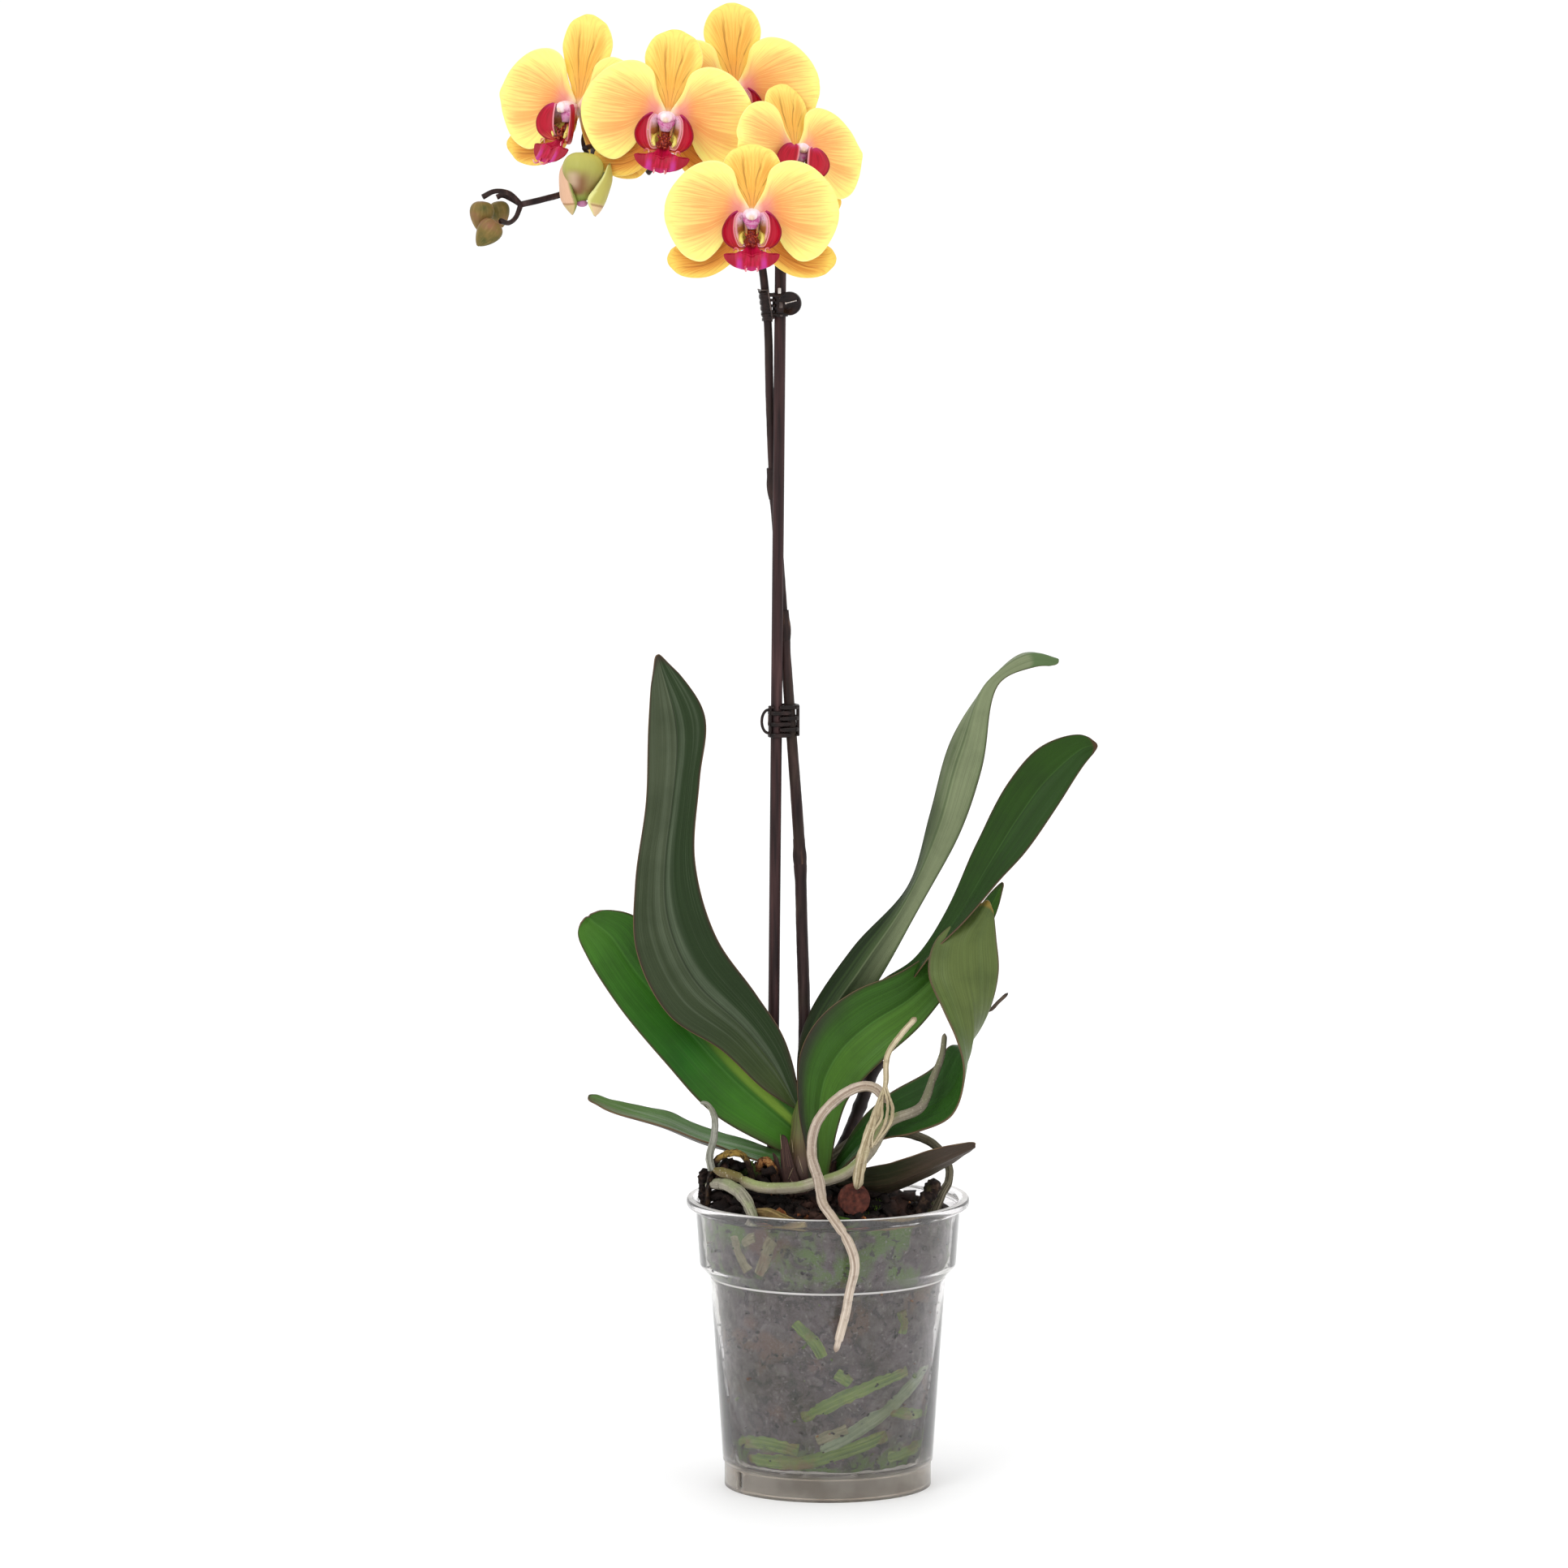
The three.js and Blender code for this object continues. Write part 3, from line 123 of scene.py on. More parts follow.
def tubePart(points, radius, sides=16, steps=40, finish=0, out=None, jitter=0, seed=0):
    # A round or flattened rod along a route. Its radius is a number or a function of t and angle.
    centres = evenRoute(points, steps)
    heading = (centres[1] - centres[0]).normalized()
    normal = heading.orthogonal().normalized()
    stations = []
    for step, centre in enumerate(centres):
        ahead = (centres[min(step + 1, steps)] - centres[max(step - 1, 0)]).normalized()
        normal.rotate(heading.rotation_difference(ahead))
        heading = ahead
        upright = normal.copy()
        if out is not None:
            upright = (out - ahead * out.dot(ahead)).normalized()
        stations.append((centre, upright, ahead.cross(upright)))
    part = newPart()
    bmesh.ops.create_grid(part, x_segments=sides, y_segments=steps, size=0.5, calc_uvs=True)
    for vert in part.verts:
        step = round((vert.co.y + 0.5) * steps)
        angle = (vert.co.x + 0.5) * math.tau
        centre, upright, side = stations[step]
        reach = radius(step / steps, angle) if callable(radius) else radius
        away = upright * math.cos(angle) + side * math.sin(angle)
        if jitter:
            spot = centre + away * reach
            reach *= 1 + jitter * (noise.noise(spot * 0.35 + Vector((seed, 0, 0))) - 0.4)
            reach *= 1 + jitter * 0.6 * (noise.noise(spot * 1.1 + Vector((seed, 9, 0))) - 0.4)
        vert.co = centre + away * reach
    return closeUp(part, finish)


def bladePart(margins, columns, rows, liftAt, finish=0, thin=1, tip=0.1, notch=0, flip=False):
    # A blade between two margins. liftAt(side, t, width) stands it out of the flat, tip rounds
    # its end off, notch draws the end of its midrib back, and flip turns its map over.
    left, right = ([Vector(point) for point in margin] for margin in margins)
    samples = 200
    lines = []
    for sample in range(samples + 1):
        t = sample / samples
        a, b = routePoint(left, t), routePoint(right, t)
        ahead = routePoint(left, t + 0.01) + routePoint(right, t + 0.01)
        behind = routePoint(left, t - 0.01) + routePoint(right, t - 0.01)
        normal = (b - a).cross(ahead - behind).normalized()
        lines.append((a, b, normal))
    part = newPart()
    weights = part.verts.layers.deform.active
    chart = part.loops.layers.uv.active
    bmesh.ops.create_grid(part, x_segments=columns, y_segments=rows, size=0.5, calc_uvs=True)
    for vert in part.verts:
        side = vert.co.x * 2
        t = vert.co.y + 0.5
        drawnBack = tip * side ** 4 + notch * math.exp(-(side / 0.16) ** 2)
        place = max(0, t - drawnBack * t ** 4) * samples
        index = min(int(place), samples - 1)
        a, b, normal = (p.lerp(q, place - index) for p, q in zip(lines[index], lines[index + 1]))
        lift = liftAt(side, t, (b - a).length)
        vert.co = a.lerp(b, vert.co.x + 0.5) + normal * lift
        vert[weights][0] = 1 - (1 - thin) * abs(side)
    if flip:
        for face in part.faces:
            for loop in face.loops:
                loop[chart].uv.x = 1 - loop[chart].uv.x
    return paint(part, finish)


def blobPart(centre, radii, finish=0, detail=3):
    # an ellipsoid
    part = newPart()
    place = Matrix.LocRotScale(Vector(centre), None, Vector(radii))
    bmesh.ops.create_icosphere(part, subdivisions=detail, radius=1, matrix=place, calc_uvs=True)
    return paint(part, finish)


def spinPart(profile, steps):
    # a profile of radius and height, turned round the axis of the pot
    part = newPart()
    verts = [part.verts.new((radius, 0, height)) for radius, height in profile]
    edges = [part.edges.new(pair) for pair in zip(verts, verts[1:])]
    bmesh.ops.spin(part, geom=verts + edges, angle=math.tau, steps=steps, axis=(0, 0, 1),
                   cent=(0, 0, 0), use_merge=True)
    bmesh.ops.remove_doubles(part, verts=part.verts, dist=1e-4)
    bmesh.ops.recalc_face_normals(part, faces=part.faces)
    return part


def soften(part, edges, offset, segments=2):
    bmesh.ops.bevel(part, geom=edges, offset=offset, segments=segments, profile=0.5, affect="EDGES",
                    material=-1)


def sheetPart(margins, columns, rows, liftAt, thickness, finish=0, **ends):
    # a blade with a thickness of its own
    part = bladePart(margins, columns, rows, liftAt, finish, **ends)
    bmesh.ops.solidify(part, geom=part.faces, thickness=thickness)
    return part


def polar(angle, reach, z=0):
    return Vector((math.cos(angle) * reach, math.sin(angle) * reach, z))


def between(ends, share):
    return [a + (b - a) * share for a, b in zip(*ends)]


def mirrored(margins):
    return [[(-x, y, z) for x, y, z in margin] for margin in margins[::-1]]


def bothSides(margin):
    # an even blade, given by one of its margins
    return [margin, [(-x, y, z) for x, y, z in margin]]


def finishPiece(name, parts, nodes, slot, finishes, wall=0, levels=0, place=None, sideFinish=0):
    # Joins the parts into one piece, in metres. A thin piece gets a wall, in millimetres, and with
    # sideFinish at 1 its back takes the second finish and its rim the third.
    whole = newPart()
    for part in parts:
        scratch = bpy.data.meshes.new("scratch")
        part.to_mesh(scratch)
        part.free()
        whole.from_mesh(scratch)
        bpy.data.meshes.remove(scratch)
    move = toMetres @ place if place is not None else toMetres
    bmesh.ops.transform(whole, matrix=move, verts=whole.verts)
    for face in whole.faces:
        face.smooth = True
    mesh = bpy.data.meshes.new(name)
    whole.to_mesh(mesh)
    whole.free()
    for finish in finishes:
        mesh.materials.append(finish.material)
    piece = bpy.data.objects.new(name, mesh)
    bpy.context.scene.collection.objects.link(piece)
    if wall:
        piece.vertex_groups.new(name="thick")
        shell = piece.modifiers.new("wall", "SOLIDIFY")
        shell.thickness = wall * 0.001
        shell.offset = 0
        shell.vertex_group = "thick"
        shell.material_offset = sideFinish
        shell.material_offset_rim = sideFinish * 2
    if levels:
        smooth = piece.modifiers.new("smooth", "SUBSURF")
        smooth.levels = levels
        smooth.render_levels = levels
    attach(piece, "root")
    if nodes:
        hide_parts(*nodes)
    return piece


# Finishes

def shade(code):
    # a colour written as RRGGBB, made linear
    channels = [int(code[n:n + 2], 16) / 255 for n in (0, 2, 4)]
    linear = [c / 12.92 if c < 0.04045 else ((c + 0.055) / 1.055) ** 2.4 for c in channels]
    return (*linear, 1)


class Value:
    # an output of a finish's nodes, which can be reckoned with
    def __init__(self, finish, socket):
        self.finish = finish
        self.socket = socket

    def calc(self, operation, *others):
        inputs = dict(enumerate((self, *others, 0.0, 0.0)[:3]))
        return self.finish.node("ShaderNodeMath", inputs, operation=operation)

    def __add__(self, other):
        return self.calc("ADD", other)

    def __sub__(self, other):
        return self.calc("SUBTRACT", other)

    def __mul__(self, other):
        return self.calc("MULTIPLY", other)

    def __truediv__(self, other):
        return self.calc("DIVIDE", other)

    def __pow__(self, other):
        return self.calc("POWER", other)

    def __abs__(self):
        return self.calc("ABSOLUTE")

    def eased(self, low, high, toLow=0.0, toHigh=1.0):
        # the range from low to high, eased to a new range
        inputs = {"Value": self, "From Min": low, "From Max": high, "To Min": toLow, "To Max": toHigh}
        return self.finish.node("ShaderNodeMapRange", inputs, interpolation_type="SMOOTHSTEP")

    def ramp(self, *stops):
        colour = self.finish.node("ShaderNodeValToRGB", {"Fac": self})
        elements = colour.socket.node.color_ramp.elements
        while len(elements) < len(stops):
            elements.new(0.5)
        for element, (spot, code) in zip(elements, stops):
            element.position = spot
            element.color = shade(code)
        return colour


class Finish:
    # a material whose colour is laid on in coats
    def __init__(self, name, roughness=0.5, gloss=0.4, **sockets):
        self.material = bpy.data.materials.new(name)
        self.material.use_nodes = True
        self.shader = self.material.node_tree.nodes["Principled BSDF"]
        sockets.update(Roughness=roughness, Specular_IOR_Level=gloss)
        for socket, value in sockets.items():
            self.feed(self.shader.inputs[socket.replace("_", " ")], value)

    def feed(self, socket, value):
        if isinstance(value, Value):
            self.material.node_tree.links.new(value.socket, socket)
        else:
            socket.default_value = shade(value) if isinstance(value, str) else value

    def node(self, kind, inputs, out=0, **settings):
        # adds a node, fills its inputs and gives one of its outputs
        node = self.material.node_tree.nodes.new(kind)
        for setting, value in settings.items():
            setattr(node, setting, value)
        for socket, value in inputs.items():
            self.feed(node.inputs[socket], value)
        return Value(self, node.outputs[out])

    def place(self, on):
        # the object's own coordinates, or the piece's map
        if on == "Object":
            return self.node("ShaderNodeTexCoord", {}, "Object")
        return self.node("ShaderNodeUVMap", {}, uv_map="UVMap")

    def axis(self, letter, on="UV"):
        return self.node("ShaderNodeSeparateXYZ", {"Vector": self.place(on)}, letter)

    def midline(self):
        # 0 along the middle of a blade, 1 at its margins
        return abs(self.axis("X").calc("MULTIPLY_ADD", 2.0, -1.0))

    def grain(self, stretch=(1, 1, 1), scale=1.0, detail=3, distortion=0.0, on="Object", shift=(0, 0, 0)):
        # noise stretched along the axes
        inputs = {"Vector": self.place(on), "Scale": stretch, "Location": shift}
        place = self.node("ShaderNodeMapping", inputs)
        inputs = {"Vector": place, "Scale": scale, "Detail": detail, "Distortion": distortion}
        return self.node("ShaderNodeTexNoise", inputs)

    def blend(self, share, a, b):
        return self.node("ShaderNodeMix", {0: share, 6: a, 7: b}, 2, data_type="RGBA")

    def paint(self, colour):
        self.colour = colour
        self.feed(self.shader.inputs["Base Color"], colour)

    def coat(self, share, tone):
        self.paint(self.blend(share, self.colour, tone))

    def patches(self, tone, low, high, most, **lines):
        self.coat(self.grain(**lines).eased(low, high, 0, most), tone)

    def relief(self, height, depth=0.0002, strength=0.6):
        inputs = {"Height": height, "Distance": depth, "Strength": strength}
        self.feed(self.shader.inputs["Normal"], self.node("ShaderNodeBump", inputs))


def grained(name, roughness, gloss, *stops, depth=0.0002, strength=0.6, **lines):
    # a finish whose grain gives it its colours, and its relief unless the depth is 0
    skin = Finish(name, roughness, gloss)
    grain = skin.grain(**lines)
    skin.paint(grain.ramp(*stops))
    if depth:
        skin.relief(grain, depth, strength)
    return skin


def mottled(name, roughness, gloss, tones, relief=False, **lines):
    # a finish between two tones
    skin = Finish(name, roughness, gloss)
    grain = skin.grain(**lines)
    skin.paint(skin.blend(grain, *tones))
    if relief:
        skin.relief(grain)
    return skin


# Camera, floor and light, in metres

view = {
    "place": (-0.0002, -4.9975, 1.0027),
    "tilt": 82,
    "lens": 275,
}
camera = bpy.data.objects.new("camera", bpy.data.cameras.new("camera"))
bpy.context.scene.collection.objects.link(camera)
camera.location = view["place"]
camera.rotation_euler = (math.radians(view["tilt"]), 0, 0)
camera.data.lens = view["lens"]
camera.data.sensor_width = 36
camera.data.clip_end = 100
bpy.context.scene.camera = camera
bpy.context.scene.view_settings.view_transform = "Standard"

studio = {
    "room": 1.06,
    "floor": 30,
    # where the lamps point, and each lamp's place, size and power
    "aim": (0, 0, 0.3),
    "lamps": {
        "key": ((-1.6, -2.6, 2.4), 1.5, 30),
        "fill": ((2.2, -2.2, 1.4), 1.8, 8),
        "back": ((0.4, 2.6, 2.2), 1.8, 10),
    },
}
world = bpy.data.worlds.new("room")
world.use_nodes = True
world.node_tree.nodes["Background"].inputs["Color"].default_value = (1, 1, 1, 1)
world.node_tree.nodes["Background"].inputs["Strength"].default_value = studio["room"]
bpy.context.scene.world = world
for lampName, (spot, size, power) in studio["lamps"].items():
    lamp = bpy.data.objects.new(lampName, bpy.data.lights.new(lampName, "AREA"))
    bpy.context.scene.collection.objects.link(lamp)
    lamp.location = spot
    lamp.rotation_euler = (Vector(spot) - Vector(studio["aim"])).to_track_quat("Z", "Y").to_euler()
    lamp.data.size = size
    lamp.data.energy = power

floorShape = bmesh.new()
bmesh.ops.create_grid(floorShape, x_segments=1, y_segments=1, size=studio["floor"])
floorMesh = bpy.data.meshes.new("floor")
floorShape.to_mesh(floorMesh)
floorShape.free()
floor = bpy.data.objects.new("floor", floorMesh)
bpy.context.scene.collection.objects.link(floor)
floorFinish = mottled("pale floor", 0.7, 0.3, ("fcfcfc", "ffffff"), scale=3.0)
floorMesh.materials.append(floorFinish.material)
print("camera, floor and lights")


# Pot

pot = {
    "sides": 96,
    "profile": [
        (43.8, 0), (43.8, 9.4), (43.9, 9.9), (44.5, 10.9), (44.65, 11.8), (49.9, 88.6), (50.2, 89.9),
        (50.8, 90.9), (53.6, 93.8), (54.3, 94.8), (54.45, 95.8), (56.0, 117.8), (56.3, 118.9),
        (59.2, 119.9), (59.8, 120.5), (60, 121.4), (59.9, 122.6), (59.4, 123.3), (58.4, 123.6),
        (57.2, 123.5), (55.6, 122.8), (55.1, 121.6), (53.2, 96.4), (52.8, 95.2), (49.4, 91.6),
        (48.9, 90.6), (48.7, 89.6), (43.4, 12.6), (42.9, 11.9), (0, 11.8), (0, 10.5), (41.6, 10.5),
        (42.4, 9.9), (42.5, 9), (42.5, 0),
    ],
    "slots": (-58, 122),
    "slotHeights": (2.4, 8.9),
    "slotBreadth": 3.2,
    "holes": 6,
    "holeRing": 26,
    "holeRadius": 3.5,
    "holeBreadth": 15.1,
    "floor": (10.5, 11.8),
    # the inside of the wall: where each stage starts, and how far it widens over what height
    "taper": {"from": 10.5, "radius": 43.3, "widens": 5.6, "over": 79.5},
    "step": {"from": 90, "radius": 48.9, "widens": 4.2, "over": 5},
    "band": {"from": 95, "widens": 1.7, "over": 24},
    # under this height the foot is frosted, and these thin bands at the ledge and the rim take a whiter
    # plastic that paints their highlight lines
    "frosted": 11.4,
    "highlightLines": ((90.2, 91), (123.2, 124)),
}


def innerWall(z):
    # radius of the inside of the wall at a height
    taper, step, band = pot["taper"], pot["step"], pot["band"]
    if z < step["from"]:
        return taper["radius"] + (z - taper["from"]) * taper["widens"] / taper["over"]
    radius = step["radius"] + min(1, (z - step["from"]) / step["over"]) * step["widens"]
    return radius + max(0, z - band["from"]) * band["widens"] / band["over"]


def makePot():
    low, high = pot["slotHeights"]
    under, top = pot["floor"]
    inner = pot["holeRing"] - pot["holeRadius"]
    outer = pot["holeRing"] + pot["holeRadius"]
    profile = list(pot["profile"])
    footOut, footIn = profile[0][0], profile[-1][0]
    profile[1:1] = [(footOut, low), (footOut, high)]
    profile[-1:-1] = [(footIn, high), (footIn, low)]
    centre = profile.index((0, top))
    profile[centre:centre] = [(outer, top), (inner, top)]
    profile[centre + 4:centre + 4] = [(inner, under), (outer, under)]
    shell = spinPart(profile + [profile[0]], pot["sides"])
    for degrees in pot["slots"]:
        cutThrough(shell, degrees - 90, pot["slotBreadth"], lambda r, z: r > 40 and low < z < high)
    for hole in range(pot["holes"]):
        degrees = hole * 360 / pot["holes"]
        cutThrough(shell, degrees, pot["holeBreadth"], lambda r, z: inner < r < outer and 10 < z < 12, True)
    bmesh.ops.recalc_face_normals(shell, faces=shell.faces)
    for face in shell.faces:
        face.material_index = potFinish(face.calc_center_median().z)
    return shell


def cutThrough(shell, degrees, breadth, inBand, rounded=False):
    # Takes out the faces on both sides of a wall and joins the two openings.
    chosen = []
    for face in shell.faces:
        spot = face.calc_center_median()
        turn = (math.degrees(math.atan2(spot.y, spot.x)) - degrees + 180) % 360 - 180
        if inBand(math.hypot(spot.x, spot.y), spot.z) and abs(turn) < breadth / 2:
            chosen.append(face)
    bmesh.ops.delete(shell, geom=chosen, context="FACES")
    edges = [edge for edge in shell.edges if edge.is_boundary]
    if rounded:
        angle = math.radians(degrees)
        middle = polar(angle, pot["holeRing"])
        for vert in {vert for edge in edges for vert in edge.verts}:
            away = (vert.co - middle) * Vector((1, 1, 0))
            height = vert.co.z
            vert.co = middle + away.normalized() * pot["holeRadius"]
            vert.co.z = height
    bmesh.ops.bridge_loops(shell, edges=edges)


def potFinish(height):
    if height < pot["frosted"]:
        return 2
    # faces in the bands of painted highlight lines take the whiter plastic
    return 1 if any(low < height < high for low, high in pot["highlightLines"]) else 0


def plasticFinish(name, roughness, bending, clear, tones, haze, relief):
    skin = Finish(name, roughness, 0.45, IOR=bending, Transmission_Weight=clear)
    scale, detail = haze
    skin.paint(skin.blend(skin.grain(scale=scale, detail=detail).eased(0.4, 0.7), *tones))
    if relief:
        skin.relief(skin.grain(scale=relief), 0.0001, 0.3)
    return skin


plastic = plasticFinish("clear plastic", 0.02, 1.36, 0.97, ("f4f2f3", "e2e1dc"), (38.0, 5), 0)
plastic.relief(plastic.grain((1, 1, 0.45), scale=300.0, detail=2).eased(0.6, 0.8), strength=0.07)
# a whiter, less clear plastic for the thin bands at the ledge and the rim, painted as highlight lines
highlightLines = plasticFinish("milky plastic", 0.35, 1.42, 0.45, ("f6f3f1", "dcd8d2"), (60.0, 4), 500.0)
frosted = plasticFinish("frosted foot", 0.24, 1.36, 0.85, ("dcd5cc", "c4bbb0"), (70.0, 4), 400.0)
finishPiece("pot_shell", [makePot()], ["pot"], "clear_plastic", [plastic, highlightLines, frosted])
print("pot")


# Bark, crumbs and moss

dice = random.Random(11)
barkFinish = Finish("bark", 0.85, 0.25)
barkGrain = barkFinish.grain(scale=95.0, detail=6, distortion=0.4)
barkFinish.paint(barkGrain.ramp((0.3, "080504"), (0.5, "1a100c"), (0.64, "35211a"), (0.8, "5a4238")))
greenHigh = barkFinish.axis("Z", "Object").eased(0.085, 0.112, 0.06, 0.8)
barkFinish.coat(barkFinish.grain(scale=34.0, detail=4).eased(0.56, 0.66) * greenHigh, "4d7322")
barkFinish.relief(barkFinish.grain((1, 1, 2.2), scale=260.0, detail=6, distortion=0.6), 0.0009, 0.8)

orangeBark = grained("orange bark", 0.75, 0.3, (0.3, "2a140a"), (0.5, "7a4420"), (0.7, "c08a4a"),
                     depth=0.0007, strength=0.8, stretch=(1, 1, 0.25), scale=380.0, detail=5,
                     distortion=0.8)
blackBark = grained("black bark", 0.85, 0.2, (0.35, "0c0807"), (0.52, "221815"), (0.68, "4a3a2e"),
                    depth=0.0009, strength=0.8, scale=300.0, detail=6, distortion=0.6)
blackBark.patches("4a5422", 0.58, 0.68, 0.5, scale=90.0, detail=4)
mossFinish = grained("moss", 0.85, 0.15, (0.35, "2e3c10"), (0.55, "54701e"), (0.7, "7c9236"), scale=420.0)

# bark pressed against the wall: grey with damp, with dark flakes, brown pieces and a green film
packedBark = grained("packed bark", 0.8, 0.25, (0.3, "1e1514"), (0.44, "443836"), (0.6, "5e5354"),
                     (0.8, "7a7072"), depth=0.001, scale=170.0, detail=6, distortion=0.7)
packedBark.patches("6a4a38", 0.56, 0.66, 0.7, scale=52.0, detail=4, shift=(4, 0, 0))
packedHeight = packedBark.axis("Z", "Object")
lowFilm = packedHeight.eased(0.014, 0.03, 0.9, 0)
filmHeight = packedHeight.eased(0.084, 0.1, 0.05, 0.95).calc("MAXIMUM", lowFilm)
greenFilm = packedBark.grain(scale=62.0, detail=6, distortion=0.9).eased(0.42, 0.6)
packedBark.coat(greenFilm * filmHeight, "50721a")
packedBark.patches("221718", 0.57, 0.63, 0.85, scale=250.0, distortion=0.6)
packedBark.patches("a49a9a", 0.6, 0.7, 0.45, scale=900.0, detail=2)

heap = {
    "top": 124, "edge": 114, "reach": 52, "chips": 380, "crumbs": 480, "flecks": 420, "tufts": 16,
    "blades": 12,
    "chipReach": 48, "chipTurn": 2.39996, "crumbReach": 50,
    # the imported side, from the pot's floor up, and the rings that close it over the top
    "rows": (12.6, 14, 20, 28, 36, 44, 52, 60, 68, 76, 84, 89),
    "band": [(92, 49.8), (95.5, 52.2), (98, 52.9), (104, 53.3), (110, 53.7), (115, 54), (117.6, 53.4)],
    "rings": (48, 42, 35, 28, 20, 12, 5),
    # where the mix stands higher: across, deep, how wide and how high
    "mounds": ((-37, -10, 10, 10), (-24, -6, 8, 7), (6, -4, 9, 8), (26, -16, 8, 5)),
    # dark chips stacked under the arched curl and the orange ridge, each with its size
    "stacked": (
        ((-47, -10, 126), 8), ((-46, -10, 132), 7), ((-41, -10, 128), 8), ((-36, -9, 133), 7),
        ((-35, -9, 127), 8), ((-44.4, -11, 138), 5.5), ((-36, -10, 138.6), 5.5), ((-40, -10, 137.6), 5),
        ((-44, -9, 134), 6), ((-40, -8, 133), 6), ((-46, -4, 133), 9), ((-41.5, -4, 136.5), 9),
        ((-37, -3, 134), 9), ((-43, -5, 129), 9), ((-39, -6, 138), 7), ((-30, -5, 128), 9),
        ((-29, -5, 134), 7), ((-25, -6, 129), 9), ((-24.5, -6.5, 134), 7), ((-20, -7, 128), 9),
        ((-33, -8, 122), 9), ((31, -20, 124), 7), ((24, -22, 126), 6), ((34, -18, 127), 6),
        ((20, -18, 128), 7), ((28, -12, 126), 8),
    ),
}


def heapZ(radius):
    share = min(1, radius / heap["reach"])
    return heap["top"] + (heap["edge"] - heap["top"]) * share ** 1.3


def heapTop(x, y):
    rises = (high * math.exp(-((x - a) ** 2 + (y - b) ** 2) / 2 / wide ** 2)
             for a, b, wide, high in heap["mounds"])
    return heapZ(math.hypot(x, y)) + max(rises)


def heapPart():
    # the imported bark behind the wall, closed over at the top
    heights = [(z, innerWall(z) - 0.7) for z in heap["rows"]] + heap["band"]
    heights += [(heapZ(radius), radius) for radius in heap["rings"]]
    part = newPart()
    rows = len(heights) * 3
    bmesh.ops.create_grid(part, x_segments=132, y_segments=rows, size=0.5, calc_uvs=True)
    for vert in part.verts:
        angle = (vert.co.x + 0.5) * math.tau
        t = (vert.co.y + 0.5) * (len(heights) - 1)
        index = min(int(t), len(heights) - 2)
        z, radius = between(heights[index:index + 2], t - index)
        spot = polar(angle, radius, z)
        chunk = abs(noise.cell(spot * 0.11 + Vector((0, 0, z * 0.06))))
        rough = 1.1 * noise.noise(spot * 0.28) + 0.5 * noise.noise(spot * 0.9)
        radius -= 0.7 * min(chunk, 1) + 0.5 + rough * 0.5
        if index > len(heights) - 8:
            z += heapTop(spot.x, spot.y) - heapZ(radius)
        vert.co = polar(angle, radius, z + rough * 0.4)
    closeUp(part, 2, 0.01)
    for face in part.faces:
        if face.normal.z > 0.5:
            face.material_index = 0
    return part


def chipPart(centre, size, finish=0):
    # one chip: a split block with its corners pushed about
    part = newPart()
    stretch = (size * (0.8 + dice.random()), size * (0.5 + dice.random() * 0.6), size * 0.42)
    turn = Matrix.Rotation(dice.random() * math.tau, 4, "Z")
    for axis in "XY":
        turn = turn @ Matrix.Rotation((dice.random() - 0.5) * 1.5, 4, axis)
    place = Matrix.Translation(Vector(centre)) @ turn @ Matrix.Diagonal(Vector((*stretch, 1)))
    bmesh.ops.create_cube(part, size=1, matrix=place)
    bmesh.ops.subdivide_edges(part, edges=part.edges, cuts=1, use_grid_fill=True)
    for vert in part.verts:
        vert.co += Vector([dice.random() - 0.5 for axis in "XYZ"]) * size * 0.22
        vert.co = vert.co.lerp(Vector(centre), 0.18 * dice.random())
    return paint(part, finish)


def hairPart(foot, direction, length, thick, finish=0):
    # a hair, or a blade of moss
    part = newPart()
    turn = direction.to_track_quat("Z", "Y").to_matrix().to_4x4()
    place = Matrix.Translation(foot + direction * length / 2) @ turn
    bmesh.ops.create_cone(part, cap_ends=True, segments=3, radius1=thick, radius2=thick * 0.2,
                          depth=length, matrix=place)
    return paint(part, finish)


def onHeap(angle, radius, rise):
    # a place on the heap, or a little above it
    x, y = math.cos(angle) * radius, math.sin(angle) * radius
    return x, y, heapTop(x, y) + rise


def makeBark():
    parts = [heapPart()]
    for index in range(heap["chips"]):
        radius = math.sqrt((index + 0.5) / heap["chips"]) * heap["chipReach"]
        finish = 1 if dice.random() < 0.03 else 0
        spot = onHeap(index * heap["chipTurn"], radius, dice.random() * 2.2 - 1.2)
        parts.append(chipPart(spot, 4 + dice.random() * 4, finish))
    for index in range(heap["crumbs"]):
        radius = math.sqrt(dice.random()) * heap["crumbReach"]
        angle = dice.random() * math.tau
        finish = 1 if dice.random() < 0.1 else 0
        parts.append(chipPart(onHeap(angle, radius, dice.random() * 2.5), 1.2 + dice.random() * 1.6,
                              finish))
    for spot, size in heap["stacked"]:
        parts.append(chipPart(spot, size))
    # flecks that stick to the inside of the wall
    for index in range(heap["flecks"]):
        z = 14 + dice.random() * 96
        size = 0.6 + dice.random() ** 2 * 1.5
        angle = dice.random() * math.tau
        reach = innerWall(z) - 0.35 - size * 0.3
        finish = 3 if dice.random() < 0.12 else 1 if dice.random() < 0.1 else 0
        parts.append(chipPart(polar(angle, reach, z), size, finish))
    for index in range(heap["tufts"]):
        radius = 20 + dice.random() * 29
        x, y, z = onHeap(dice.random() * math.tau, radius, 1)
        for blade in range(heap["blades"]):
            foot = Vector((x + dice.uniform(-1.2, 1.2), y + dice.uniform(-1.2, 1.2), z))
            direction = Vector((dice.uniform(-0.6, 0.6), dice.uniform(-0.6, 0.6), 1)).normalized()
            parts.append(hairPart(foot, direction, 1.2 + dice.random() * 1.6, 0.16, 3))
    return parts


finishPiece("bark_heap", makeBark(), ["bark_mix"], "bark",
            [barkFinish, orangeBark, packedBark, mossFinish])

